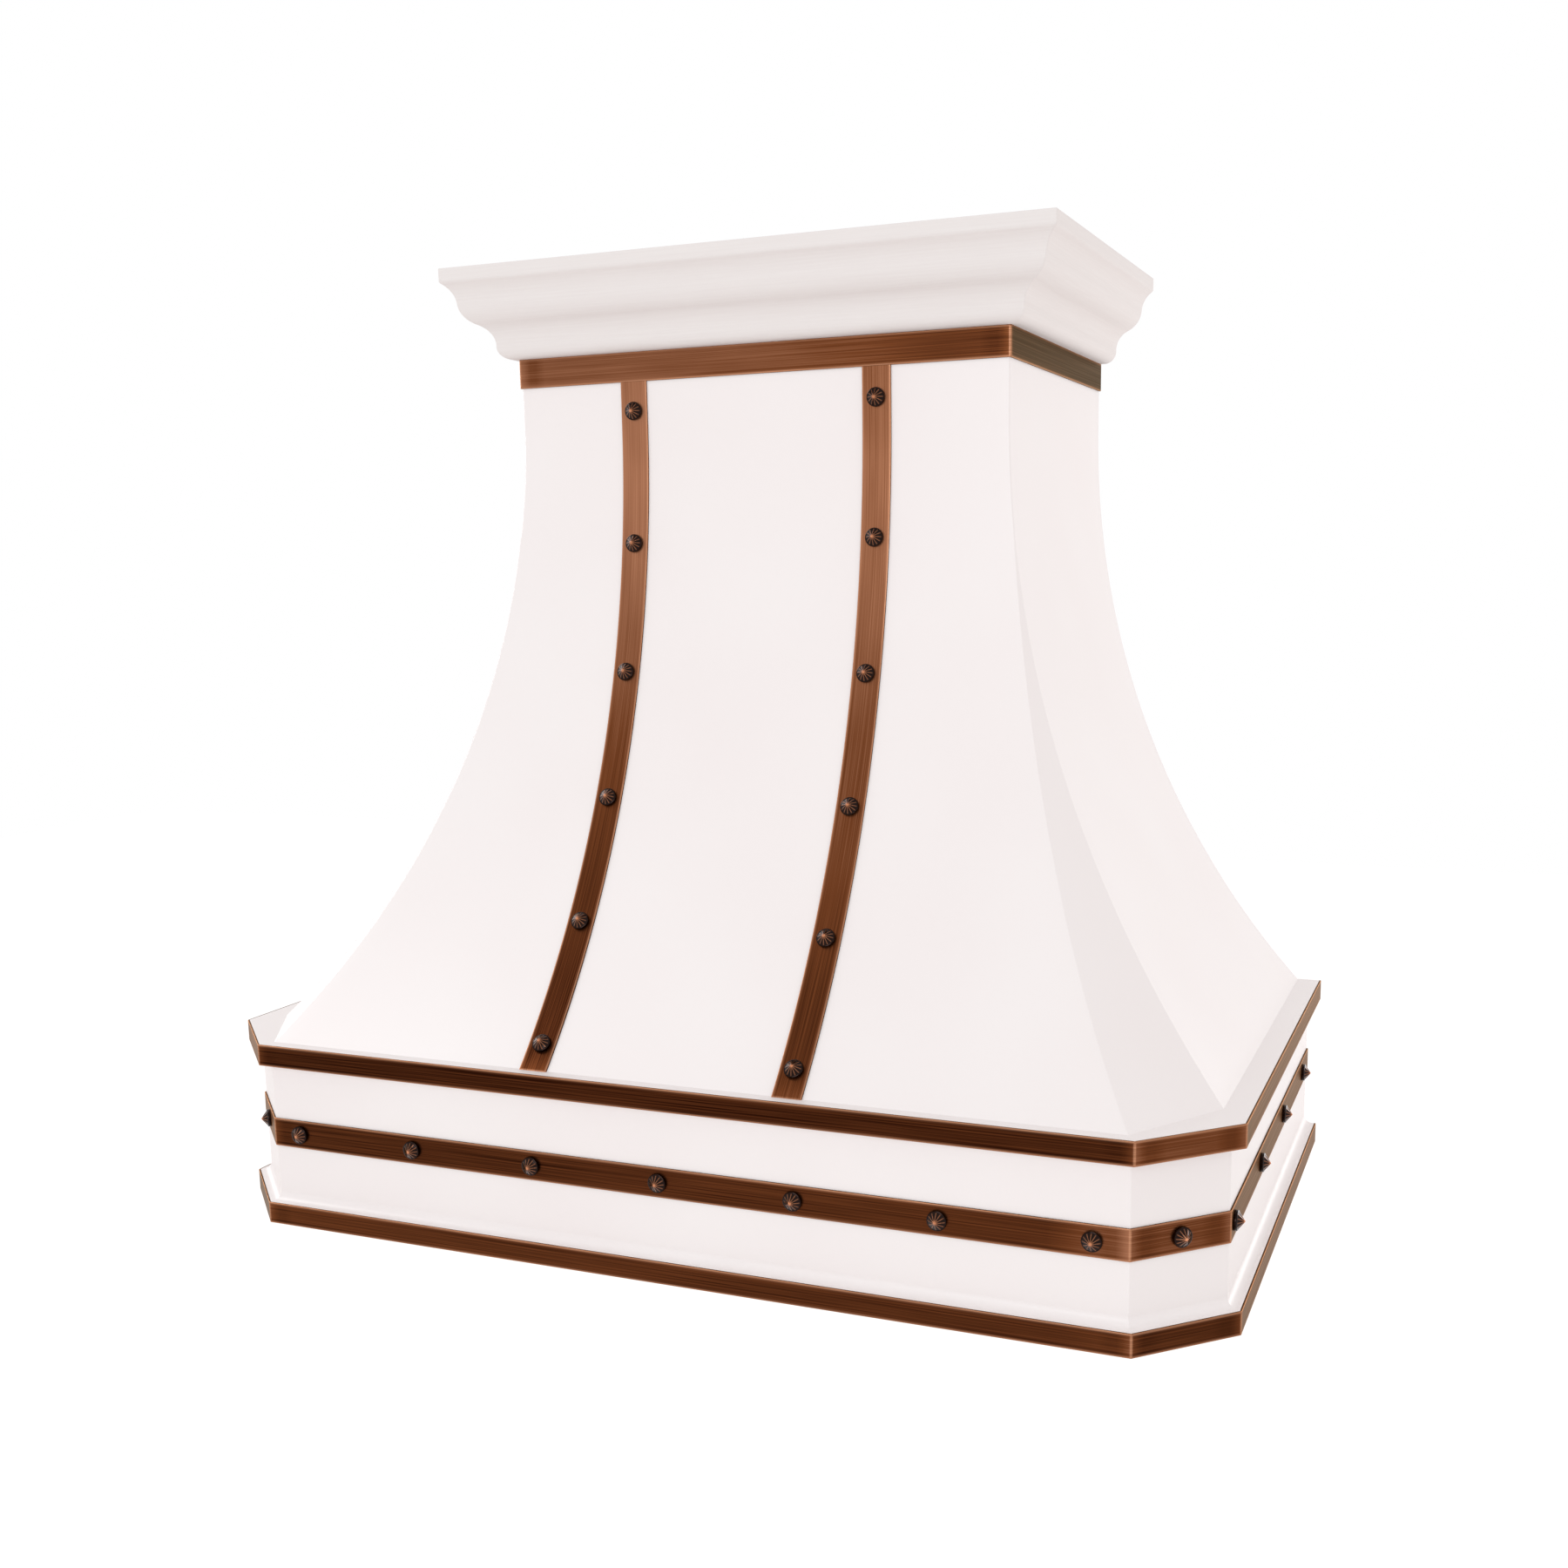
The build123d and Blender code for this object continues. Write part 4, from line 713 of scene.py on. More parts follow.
@dataclass(frozen=True)
class Speckled(Finish):
    """A plain paint, plating or plastic whose colour, gloss and surface vary over a fine grain."""

    low: str = "#808080"
    high: str = "#8a8a8a"
    grain_mm: float = 1.0
    depth_mm: float = 0.02
    smooth: float = 0.4
    rough: float = 0.5
    metallic: float = 0.0

    def paint(self, tree: bpy.types.NodeTree) -> bpy.types.Node:
        """The grain is one noise, as colour, roughness and bump.

        Args:
            tree: The material's node tree.

        Returns:
            The finish's shader node.
        """
        place = add_node(tree, "TexCoord").outputs["Object"]
        grain = add_node(tree, "TexNoise", {"Vector": place, "Scale": 1 / (self.grain_mm * MM),
                                            "Detail": 2.0})
        colour = add_node(tree, "Mix", {0: grain.outputs[0], 6: linear(self.low),
                                        7: linear(self.high)}, data_type="RGBA")
        gloss = add_node(tree, "MapRange", {"Value": grain.outputs[0], "From Min": 0.3,
                                            "From Max": 0.7, "To Min": self.smooth,
                                            "To Max": self.rough})
        bump = add_node(tree, "Bump", {"Height": grain.outputs[0], "Strength": 0.4,
                                       "Distance": self.depth_mm * MM})
        return add_node(tree, "BsdfPrincipled", {
            "Base Color": colour.outputs[2], "Metallic": self.metallic,
            "Roughness": gloss.outputs[0], "Normal": bump.outputs[0]})


@dataclass(frozen=True)
class FrostedGlass(Finish):
    """Lamp glass etched on its outer face, so that it scatters light and hides the board."""

    tint: str = "#eef3f2"
    etch_mm: float = 0.5

    def paint(self, tree: bpy.types.NodeTree) -> bpy.types.Node:
        """The etching is a fine noise, as roughness and bump.

        Args:
            tree: The material's node tree.

        Returns:
            The finish's shader node.
        """
        place = add_node(tree, "TexCoord").outputs["Object"]
        etch = add_node(tree, "TexNoise", {"Vector": place, "Scale": 1 / (self.etch_mm * MM),
                                           "Detail": 1.0})
        gloss = add_node(tree, "MapRange", {"Value": etch.outputs[0], "To Min": 0.4,
                                            "To Max": 0.6})
        bump = add_node(tree, "Bump", {"Height": etch.outputs[0], "Strength": 0.3,
                                       "Distance": 0.03 * MM})
        return add_node(tree, "BsdfPrincipled", {
            "Base Color": linear(self.tint), "Roughness": gloss.outputs[0], "IOR": 1.5,
            "Transmission Weight": 0.75, "Normal": bump.outputs[0]})


ENAMEL = SprayedEnamel("sprayed_white_enamel")
CROWN_PAINT = BrushedPaint("brushed_matt_paint")
COPPER = AntiqueCopper("brushed_antique_copper")
CLAVO_COPPER = ForgedCopper("stamped_dark_copper")
STAINLESS = BrushedMetal("brushed_stainless")
STAINLESS_LENGTHWAYS = BrushedMetal("brushed_stainless_lengthways", grain=Grain.ALONG_Y)
SLOT_FINISHES: dict[str, Finish] = {
    "white_enamel": ENAMEL,
    "painted_wood": CROWN_PAINT,
    "antique_copper": COPPER,
    # Rolled steel in zinc primer: flat grey with a dusty grain that kills its gloss
    "frame_steel": Speckled("grey_primer", low="#54575a", high="#5e6164", grain_mm=1.2,
                            depth_mm=0.05, smooth=0.55, rough=0.7),
    "stainless": STAINLESS,
    # Plated bezels: nearly a mirror, blurred by the fine blasting under the chrome
    "lamp_chrome": Speckled("satin_chrome", low="#c4c4c6", high="#d0d0d1", grain_mm=0.8,
                            depth_mm=0.005, smooth=0.16, rough=0.24, metallic=1.0),
    "lamp_glass": FrostedGlass("etched_glass"),
    # Lamp boards: white lacquer with a weak gloss over the weave
    "board": Speckled("white_solder_mask", low="#dfe2da", high="#eceee8", grain_mm=2.0,
                      depth_mm=0.03, smooth=0.45, rough=0.6),
    # Switch bodies: moulded nylon, black with the mould's fine spark texture
    "switch_plastic": Speckled("moulded_black_nylon", low="#141415", high="#1d1d1e",
                               grain_mm=0.5, depth_mm=0.04, smooth=0.42, rough=0.55),
    # Plated knobs: a little duller than the bezels, from hands
    "knob_chrome": Speckled("satin_chrome_knob", low="#bdbdbf", high="#cbcbcc", grain_mm=0.6,
                            depth_mm=0.006, smooth=0.2, rough=0.3, metallic=1.0),
    "galvanised": HotDipZinc("galvanised_sheet"),
    # Motor body: black stoving enamel, glossy with an orange peel
    "motor_paint": Speckled("black_motor_enamel", low="#1a1a1c", high="#232325", grain_mm=0.9,
                            depth_mm=0.05, smooth=0.3, rough=0.42),
    # Shaft: bright steel with fine grinding lines
    "shaft_steel": BrushedMetal("ground_steel", low="#9a9a9b", high="#b4b4b5", line_mm=0.4,
                                line_length_mm=12.0, smooth=0.18, rough=0.3),
}


def dress(piece: bpy.types.Object, finish: Finish, slot: str, *nodes: str,
          body: str = "hood") -> bpy.types.Object:
    """Gives a new piece its finish, and says what it stands for and what it rides on.

    Args:
        piece: The new piece.
        finish: Its finish.
        slot: The record's material slot.
        *nodes: The model's nodes that it stands for.
        body: The body that it rides on.

    Returns:
        The piece.
    """
    piece.data.materials.append(finish.material())
    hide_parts(*nodes)
    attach(piece, body)
    log.info("%s: %d faces, %s", piece.name, len(piece.data.polygons), finish.name)
    return piece


# The bell


@dataclass(frozen=True)
class Curve:
    """The circle that a panel's face follows seen along the panel, plumb above its top."""

    centre: float
    height: float
    radius: float
    top: float

    def reach(self, z: np.ndarray, depth: float = 0.0) -> np.ndarray:
        """How far out the face stands: centre - sqrt((radius + depth)^2 - (height - z)^2)."""
        drop = self.height - np.minimum(z, self.top)
        return self.centre - np.sqrt((self.radius + depth) ** 2 - drop**2)


@dataclass(frozen=True)
class Bell:
    """The curved canopy: a front, two sides, and corners that widen from a point to the ledge.

    Every level section is a rectangle with its front corners cut off by the corner panels, and
    each crease is a fold of constant radius. Where the cut is narrower than its two folds need,
    they are one fold between the front and the side.
    """

    hood: Hood
    curve_top: float = 697.5
    panel_top: float = 835.2
    corner_top: float = 658.0
    front_shelf: float = 13.0
    side_shelf: float = 22.0
    corner_side_run: float = 54.0
    corner_front_run: float = 85.0
    back_flange: float = 20.0
    fold: float = 1.64

    def plumb_curve(self, chimney: float, foot: float) -> Curve:
        """Circle that starts plumb at the chimney: radius = (run^2 + rise^2) / (2 * run).

        Args:
            chimney: How far out the chimney's face is.
            foot: How far out the foot is.

        Returns:
            The panel's curve.
        """
        run, rise = foot - chimney, self.curve_top - self.hood.ledge_top
        radius = (run**2 + rise**2) / (2 * run)
        return Curve(chimney + radius, self.curve_top, radius, self.curve_top)

    @property
    def front(self) -> Curve:
        """Curve of the front panel."""
        return self.plumb_curve(-self.hood.chimney_y, self.hood.depth / 2 - self.front_shelf)

    @property
    def side(self) -> Curve:
        """Curve of the side panels."""
        return self.plumb_curve(self.hood.chimney_half, self.hood.width / 2 - self.side_shelf)

    @property
    def corner_way(self) -> np.ndarray:
        """Plan direction that the right corner panel faces."""
        return np.array([self.corner_front_run, -self.corner_side_run]) / np.hypot(
            self.corner_side_run, self.corner_front_run)

    @property
    def corner_turn(self) -> float:
        """The same direction as an angle in degrees."""
        return float(np.degrees(np.arctan2(self.corner_way[1], self.corner_way[0])))

    @property
    def corner(self) -> Curve:
        """Curve of the corner panels: the circle through their foot, middle and top.

        Returns:
            The panel's curve.
        """
        foot = self.hood.ledge_top
        z = np.array([foot, (foot + self.corner_top) / 2, self.corner_top])
        rise = self.corner_top - foot
        crease = (self.corner_side_run**2 + rise**2) / (2 * self.corner_side_run)
        side_run = crease - np.sqrt(crease**2 - (self.corner_top - z) ** 2)
        x, y = self.side.reach(z) - side_run, -self.front.reach(z)
        out = self.corner_way[0] * x + self.corner_way[1] * y
        (a, b), (c, d) = (out[1] - out[0], z[1] - z[0]), (out[2] - out[0], z[2] - z[0])
        twist = 2 * (a * d - b * c)
        right = (d * (a * a + b * b) - b * (c * c + d * d)) / twist
        up = (a * (c * c + d * d) - c * (a * a + b * b)) / twist
        return Curve(out[0] + right, z[0] + up, float(np.hypot(right, up)), self.corner_top)

    def creases(self, z: np.ndarray, depth: float, fold: float) -> dict[str, np.ndarray]:
        """Finds the two folds of the right front corner at each height.

        The crease with the front lies where the corner's line meets y = -front reach, and the
        crease with the side where it meets x = side reach.

        Args:
            z: Heights.
            depth: Distance behind the outer face.
            fold: Fold radius.

        Returns:
            Fold centres "front" and "side", and "flat", the corner panel's width between them.
        """
        x, y = self.side.reach(z, depth), -self.front.reach(z, depth)
        out = self.corner.reach(z, depth)
        way = self.corner_way
        a = np.stack([(out - way[1] * y) / way[0], y], axis=-1)
        b = np.stack([x, (out - way[0] * x) / way[1]], axis=-1)
        first = a - fold * (np.array([0.0, -1.0]) + way) / (1 - way[1])
        last = b - fold * (np.array([1.0, 0.0]) + way) / (1 + way[0])
        flat = (last - first) @ np.array([-way[1], way[0]])
        flat = np.where(z < self.corner_top, flat, -1.0)
        plain = np.stack([x - fold, y + fold], axis=-1)
        cut = (flat > 0)[:, None]
        return {"front": np.where(cut, first, plain), "side": np.where(cut, last, plain),
                "flat": flat}

    @property
    def tip(self) -> float:
        """Height of the corner panels' points, where their flat width comes to nothing.

        Returns:
            Height in millimetres.
        """
        z = np.linspace(self.hood.ledge_top, self.corner_top - 1, 4000)
        flat = self.creases(z, 0.0, self.fold)["flat"]
        return float(np.interp(0.0, -flat, z))

    @property
    def heights(self) -> np.ndarray:
        """Heights of the rows: even turns down the curve, the corner's tip, and the plumb part.

        Returns:
            Heights in millimetres, from the foot up.
        """
        foot = self.hood.ledge_top
        turn = np.linspace(0, np.arcsin((self.curve_top - foot) / self.front.radius), 72)
        curved = self.curve_top - self.front.radius * np.sin(turn)
        plumb = np.linspace(self.curve_top, self.panel_top, 8)
        return np.unique(np.concatenate([curved, plumb, [self.tip]]))

    def arc(self, centre: np.ndarray, fold: float, start: float, end: float,
            steps: int = 8) -> np.ndarray:
        """Points centre + fold * (cos t, sin t), with t from start to end in degrees."""
        t = np.radians(np.linspace(start, end, steps + 1))
        return centre[:, None] + fold * np.stack([np.cos(t), np.sin(t)], axis=-1)[None]

    def line(self, start: np.ndarray, end: np.ndarray, steps: int) -> np.ndarray:
        """Points start + t * (end - start), with t in even steps."""
        t = np.linspace(0, 1, steps + 1)
        return start[:, None] + (end - start)[:, None] * t[None, :, None]

    def lift(self, plan: np.ndarray, z: np.ndarray) -> np.ndarray:
        """Adds each row's height to its plan points."""
        return np.concatenate([plan, np.broadcast_to(z[:, None, None], (*plan.shape[:2], 1))],
                              axis=-1)

    def both_sides(self, plan_of: Plan, z: np.ndarray) -> np.ndarray:
        """Runs a plan function for the outer face and for the inner face, and pairs them."""
        return self.lift(paired(plan_of(0.0, self.fold),
                                plan_of(self.hood.sheet, self.fold - self.hood.sheet)), z)

    def front_skin(self) -> Skin:
        """Front: a straight run between the folds, which its own edges turn round.

        Returns:
            The panel's skin.
        """
        z = self.heights

        def plan(depth: float, fold: float) -> np.ndarray:
            """Traces the front at a depth behind its face, with that face's fold radius.

            Args:
                depth: Distance behind the outer face.
                fold: Fold radius.

            Returns:
                Plan points: heights by path points by 2.
            """
            centre = self.creases(z, depth, fold)["front"]
            start = np.stack([np.zeros(len(z)), centre[:, 1] - fold], axis=-1)
            end = np.stack([centre[:, 0], centre[:, 1] - fold], axis=-1)
            half = np.concatenate([self.line(start, end, 24),
                                   self.arc(centre, fold, -90, self.corner_turn)[:, 1:]], axis=1)
            return np.concatenate([half[:, :0:-1] * [-1, 1], half], axis=1)

        return Skin(self.both_sides(plan, z))

    def corner_skin(self) -> Skin:
        """Right corner: a flat run between its two creases, up to where they meet.

        Returns:
            The panel's skin.
        """
        z = self.heights[self.heights <= self.tip + 1e-6]

        def plan(depth: float, fold: float) -> np.ndarray:
            """Traces the corner at a depth behind its face, with that face's fold radius.

            Args:
                depth: Distance behind the outer face.
                fold: Fold radius.

            Returns:
                Plan points: heights by path points by 2.
            """
            found = self.creases(z, depth, fold)
            start = found["front"] + fold * self.corner_way
            end = found["side"] + fold * self.corner_way
            return self.line(start, end, 6)

        return Skin(self.both_sides(plan, z))

    def side_skin(self) -> Skin:
        """Right side: its front fold, a straight run to the wall, and a flange turned in there.

        Returns:
            The panel's skin.
        """
        z = self.heights
        wall = np.full(len(z), self.hood.wall_y)
        lip = self.side.reach(z, self.back_flange)

        def plan(depth: float, fold: float) -> np.ndarray:
            """Traces the side at a depth behind its face, with that face's fold radius.

            Args:
                depth: Distance behind the outer face.
                fold: Fold radius.

            Returns:
                Plan points: heights by path points by 2.
            """
            first = self.creases(z, depth, fold)["side"]
            face = self.side.reach(z, depth)
            back = np.stack([face - fold, wall - depth - fold], axis=-1)
            runs = [self.arc(first, fold, self.corner_turn, 0),
                    self.line(first + [fold, 0], back + [fold, 0], 20)[:, 1:],
                    self.arc(back, fold, 0, 90, 4)[:, 1:],
                    self.line(back + [0, fold], np.stack([lip, wall - depth], axis=-1), 3)[:, 1:]]
            return np.concatenate(runs, axis=1)

        return Skin(self.both_sides(plan, z))

    def build(self) -> list[bpy.types.Object]:
        """Makes the five panels.

        Returns:
            The new pieces.
        """
        made = [dress(make_piece("bell_front", [self.front_skin()]), ENAMEL, "white_enamel",
                      "front_panel")]
        for name, skin, node in (("corner", self.corner_skin(), "corner_panel"),
                                 ("side", self.side_skin(), "side_panel")):
            for place, sign in (("right", 1), ("left", -1)):
                turned = Skin(skin.points * [sign, 1, 1])
                made.append(dress(make_piece(f"bell_{place}_{name}", [turned]), ENAMEL,
                                  "white_enamel", f"{place}_{node}"))
        return made


# The apron


@dataclass(frozen=True)
class Apron:
    """The straight sheets between the two ledges: one folded channel, parted at the sides."""

    hood: Hood
    flange: float = 25.1
    fold: float = 2.0
    edge_fold: float = 1.7
    back_flange: float = 20.0

    def profile(self) -> Profile:
        """Section of the channel: a lower flange, an upright web and an upper flange.

        Each bend is a quarter circle of the edge fold on the outside, less the sheet inside.

        Returns:
            The section, with its depth measured as a setback from the ledge outline.
        """
        low, high = self.hood.ledge_band, self.hood.ledge_top - self.hood.ledge_band
        face, sheet = self.hood.apron_setback, self.hood.sheet
        t = np.linspace(0, np.pi / 2, 5)
        sides = []
        for inset in (0.0, sheet):
            radius = self.edge_fold - inset
            bend_depth = face + inset + radius * (1 - np.sin(t))
            bend_place = low + inset + radius * (1 - np.cos(t))
            middle = np.linspace(bend_place[-1], (low + high) / 2, 6)[1:]
            half_place = np.concatenate([[low + inset], bend_place, middle])
            half_depth = np.concatenate([[self.flange], bend_depth, np.full(5, face + inset)])
            place = np.concatenate([half_place, low + high - half_place[-2::-1]])
            depth = np.concatenate([half_depth, half_depth[-2::-1]])
            sides.append((place, depth))
        (place, depth), (back_place, back_depth) = sides
        return Profile(np.concatenate([place, back_place[::-1]]),
                       np.concatenate([depth, back_depth[::-1]]), np.zeros(2 * len(place)))

    def wall_return(self, side: int) -> Skin:
        """Flat flange that an apron side turns in along the wall.

        Args:
            side: 1 for the right, -1 for the left.

        Returns:
            A closed skin on three rows.
        """
        outer = self.hood.width / 2 - self.hood.apron_setback - self.edge_fold
        x = np.linspace(outer, outer - self.back_flange, 5) * side
        y = self.hood.wall_y
        z = np.linspace(self.hood.ledge_band, self.hood.ledge_top - self.hood.ledge_band, 3)
        out = np.stack([np.broadcast_to(x, (3, 5)), np.full((3, 5), y),
                        np.broadcast_to(z[:, None], (3, 5))], axis=-1)
        return Skin(paired(out, out - [0, self.hood.sheet, 0]))

    def build(self) -> list[bpy.types.Object]:
        """Makes the front and the two sides.

        Returns:
            The new pieces.
        """
        profile = self.profile()
        fold = np.maximum(self.fold - (profile.depth - self.hood.apron_setback),
                          self.hood.least_fold)
        path = self.hood.path(Outline.LEDGE, profile.depth, fold)
        points = carry(profile, path, 0.0)
        made = []
        for place, rows in path.parts.items():
            skins = [Skin(points[rows])]
            if place != "front":
                skins.append(self.wall_return(1 if place == "right" else -1))
            made.append(dress(make_piece(f"apron_sheet_{place}", skins), ENAMEL, "white_enamel",
                              f"apron_{place}"))
        return made


# The crown


@dataclass(frozen=True)
class Crown:
    """The crown moulding, mitred at both front corners: bead, cove, ovolo, cove and fillet."""

    hood: Hood
    foot: float = 6.0
    reaches: tuple[float, ...] = (10.0, 11.0, 13.0, 10.8)
    rises: tuple[float, ...] = (12.2, 17.0, 17.0, 18.0)
    bulges: tuple[float, ...] = (-0.21, 0.145, -0.14, 0.127)
    ease: float = 0.8
    soften_mm: float = 1.1
    fold: float = 1.0
    sharp: float = 40.0

    def face(self) -> np.ndarray:
        """Works out the moulding's face from its foot to its top edge.

        Each member is an arc whose height over its chord is bulge * chord, on the side to the left
        of its way. The arcs' joints are then softened by a running mean, as paint fills them.

        Returns:
            Points by 2: overhang from the chimney's face, and height.
        """
        knots = np.stack([self.foot + np.concatenate([[0], np.cumsum(self.reaches)]),
                          self.hood.crown_bottom + np.concatenate([[0], np.cumsum(self.rises)])],
                         axis=-1)
        runs = []
        for start, end, bulge in zip(knots[:-1], knots[1:], self.bulges):
            chord = end - start
            t = np.linspace(0, 1, 41)[:, None]
            turn = 4 * np.arctan(2 * abs(bulge))
            swing = (t - 0.5) * turn
            radius = 0.5 / np.sin(turn / 2)
            along = radius * np.sin(swing) + 0.5
            up = np.sign(bulge) * (radius * np.cos(swing) - radius * np.cos(turn / 2))
            left = np.array([-chord[1], chord[0]])
            runs.append((start + along * chord + up * left)[:-1])
        top = self.hood.top
        over = knots[-1, 0]
        fillet_z = np.linspace(knots[-1, 1], top - self.ease, 24)
        fillet = np.stack([np.full_like(fillet_z, over), fillet_z], axis=-1)
        line = np.concatenate([*runs, fillet])
        moved = np.concatenate([[0], np.cumsum(np.linalg.norm(np.diff(line, axis=0), axis=-1))])
        even = np.linspace(0, moved[-1], 240)
        line = np.stack([np.interp(even, moved, line[:, n]) for n in (0, 1)], axis=-1)
        spread = max(1, round(self.soften_mm / even[1]))
        kernel = np.hanning(2 * spread + 3)[1:-1]
        kernel /= kernel.sum()
        edged = np.pad(line, ((spread, spread), (0, 0)), mode="reflect", reflect_type="odd")
        line = np.stack([np.convolve(edged[:, n], kernel, "valid") for n in (0, 1)], axis=-1)
        t = np.linspace(0, np.pi / 2, 5)
        edge = np.stack([over - self.ease * (1 - np.cos(t)), top - self.ease * (1 - np.sin(t))],
                        axis=-1)
        return np.concatenate([line[::4], edge])

    def build(self) -> list[bpy.types.Object]:
        """Makes the front and the two sides, which meet on the mitres.

        Returns:
            The new pieces.
        """
        face = self.face()
        over = np.concatenate([face[:, 0], np.zeros(len(face))])
        height = np.concatenate([face[:, 1], face[::-1, 1]])
        profile = Profile(height, -over, np.zeros(len(height)))
        fold = np.where(over > 0, self.fold, self.hood.least_fold)
        path = self.hood.path(Outline.CHIMNEY, -over, fold, step=30.0)
        points = carry(profile, path, 0.0)
        values = strip_values(profile, path.along)
        made = []
        for place, rows in path.parts.items():
            skin = Skin(points[rows], {key: value[rows] for key, value in values.items()})
            made.append(dress(make_piece(f"crown_moulding_{place}", [skin], self.sharp),
                              CROWN_PAINT, "painted_wood", f"crown_{place}"))
        return made


# Copper bands and straps


@dataclass(frozen=True)
class Band:
    """One copper band: where it runs, and how bare its brushing left it, from 0, dark, to 1.

    The bareness along the front is given at its left end, a third of the way, two thirds of the
    way, 60 mm from its right end, and at its right end. These values, and those of the corners and
    sides, are partly the patina's own tone and partly painted reflection: stretches are made
    lighter or darker as the metal's reflections would make them.
    """

    name: str
    outline: Outline
    setback: float
    low: float
    width: float
    front: tuple[float, float, float, float, float]
    corner: float = 0.32
    side: float = 0.1


@dataclass(frozen=True)
class CopperTrim:
    """The copper strips: bands bent round the hood, and straps bent to the front's curve.

    Attributes:
        hood: The shared sizes.
        bell: The canopy, whose front curve the straps follow.
        ease: Radius of a strip's eased edges.
        fold: Fold radius of the bands.
        strap_width: Width of a strap.
        strap_x: Distance of a strap's middle from the hood's middle.
        streaks_apart: How far apart the two straps read the streaks.
        back_share: Share of the bareness that the hidden sides keep.
        fold_wear: How far from a fold a band is rubbed bare.
        end_wear: How far from its lower end a strap is rubbed bare.
        gleam: Bareness added at a fold and at a strap's lower end.
        fold_gleam: How far from a fold the gleam reaches.
        end_gleam: How far from a strap's lower end the gleam reaches.
        dull: Share of the bareness that a band loses a finger's width from a fold.
        dull_at: Distance of that place from the fold.
        dull_spread: How far to either side of it the loss reaches.
        last_knot: Distance of a band's fourth given bareness from the front's right end.
        strap_shares: Where down a strap its bareness is given, from 0 at its top to 1.
        left_bareness_and_sheen: The left strap's bareness there, barer towards its top;
            partly the patina's own tone, partly painted reflection.
        right_bareness_and_sheen: The right strap's bareness there, partly painted reflection too.
    """

    hood: Hood
    bell: Bell
    ease: float = 0.5
    fold: float = 1.4
    strap_width: float = 25.4
    strap_x: float = 114.3
    streaks_apart: float = 1000.0
    back_share: float = 0.3
    fold_wear: float = 0.9
    end_wear: float = 1.5
    gleam: float = 0.12
    fold_gleam: float = 5.0
    end_gleam: float = 12.0
    dull: float = 0.3
    dull_at: float = 13.0
    dull_spread: float = 7.0
    last_knot: float = 60.0
    strap_shares: tuple[float, ...] = (0.0, 0.12, 0.35, 0.5, 0.7, 0.85, 1.0)
    left_bareness_and_sheen: tuple[float, ...] = (0.65, 0.76, 0.51, 0.32, 0.17, 0.1, 0.06)
    right_bareness_and_sheen: tuple[float, ...] = (0.44, 0.56, 0.5, 0.35, 0.3, 0.18, 0.18)

    @property
    def bands(self) -> list[Band]:
        """The four bands from the bottom up.

        Returns:
            The bands.
        """
        hood = self.hood
        upper = hood.ledge_top - hood.ledge_band
        middle = (hood.ledge_band + upper - hood.middle_band) / 2
        # Bareness by stretch: partly the patina's tone, partly painted reflection
        return [
            Band("lower_band", Outline.LEDGE, 0.0, 0.0, hood.ledge_band,
                 (0.2, 0.18, 0.16, 0.14, 0.24), corner=0.12, side=0.24),
            Band("middle_band", Outline.LEDGE, hood.apron_setback - hood.copper, middle,
                 hood.middle_band, (0.12, 0.12, 0.17, 0.17, 0.56), side=0.2),
            Band("upper_band", Outline.LEDGE, 0.0, upper, hood.ledge_band,
                 (0.06, 0.07, 0.09, 0.08, 0.1), side=0.2),
            Band("top_band", Outline.CHIMNEY, -hood.copper, hood.crown_bottom - hood.top_band,
                 hood.top_band, (0.5, 0.43, 0.34, 0.18, 0.17), side=0.0),
        ]

    def band_skin(self, band: Band) -> Skin:
        """Carries the strip's section round the band's outline.

        Each fold is rubbed bright, the band is a little darker a finger's width from it, and the
        bareness along the front runs straight between the values that the band gives.

        Args:
            band: The band.

        Returns:
            Its skin.
        """
        profile = strip_profile(band.width, self.hood.copper, self.ease)
        fold = np.maximum(self.fold - profile.depth, self.hood.least_fold)
        path = self.hood.path(band.outline, band.setback + profile.depth, fold)
        points = carry(profile, path, band.low)
        values = strip_values(profile, path.along)
        near = path.from_fold
        values["wear"] = np.maximum(values["wear"], np.clip(
            1 - near / self.fold_wear, 0, 1)[:, None])
        middle = len(path.folds) // 2
        start, end = path.along[path.folds[middle - 1]], path.along[path.folds[middle]]
        knots = np.array([start, start * 2 / 3 + end / 3, start / 3 + end * 2 / 3,
                          end - self.last_knot, end])
        # Partly painted reflection: the given bareness also makes stretches lighter or darker
        bareness_and_sheen = np.interp(path.along, knots, band.front)
        outside = (path.along < start) | (path.along > end)
        bareness_and_sheen = np.where(outside, band.corner, bareness_and_sheen)
        at_side = (path.along < path.along[path.folds[0]]) | (
            path.along > path.along[path.folds[-1]])
        bareness_and_sheen = np.where(at_side, band.side, bareness_and_sheen)
        bareness_and_sheen = bareness_and_sheen * (
            1 - self.dull * np.exp(-((near - self.dull_at) / self.dull_spread) ** 2))
        bareness_and_sheen += self.gleam * np.exp(-(near / self.fold_gleam) ** 2)
        cut = np.where(profile.depth > self.ease, self.back_share, 1.0)
        values["bareness_and_sheen"] = bareness_and_sheen[:, None] * cut[None]
        return Skin(points, values)

    def strap_skin(self, side: int) -> Skin:
        """Carries the strip's section down the front panel's curve.

        A point at depth d behind the strap's face lies on the circle of radius r + d about the
        curve's centre, at (centre - r * cos t) out and (curve top - r * sin t) up.

        Args:
            side: 1 for the right strap, -1 for the left.

        Returns:
            Its skin.
        """
        profile = strip_profile(self.strap_width, self.hood.copper, self.ease * 0.7)
        curve = self.bell.front
        radius = curve.radius - self.hood.seam - self.hood.copper + profile.depth[None, :]
        top = self.hood.crown_bottom - self.hood.top_band
        foot = self.hood.ledge_top + self.hood.seam
        last = np.arcsin((self.bell.curve_top - foot) / radius)
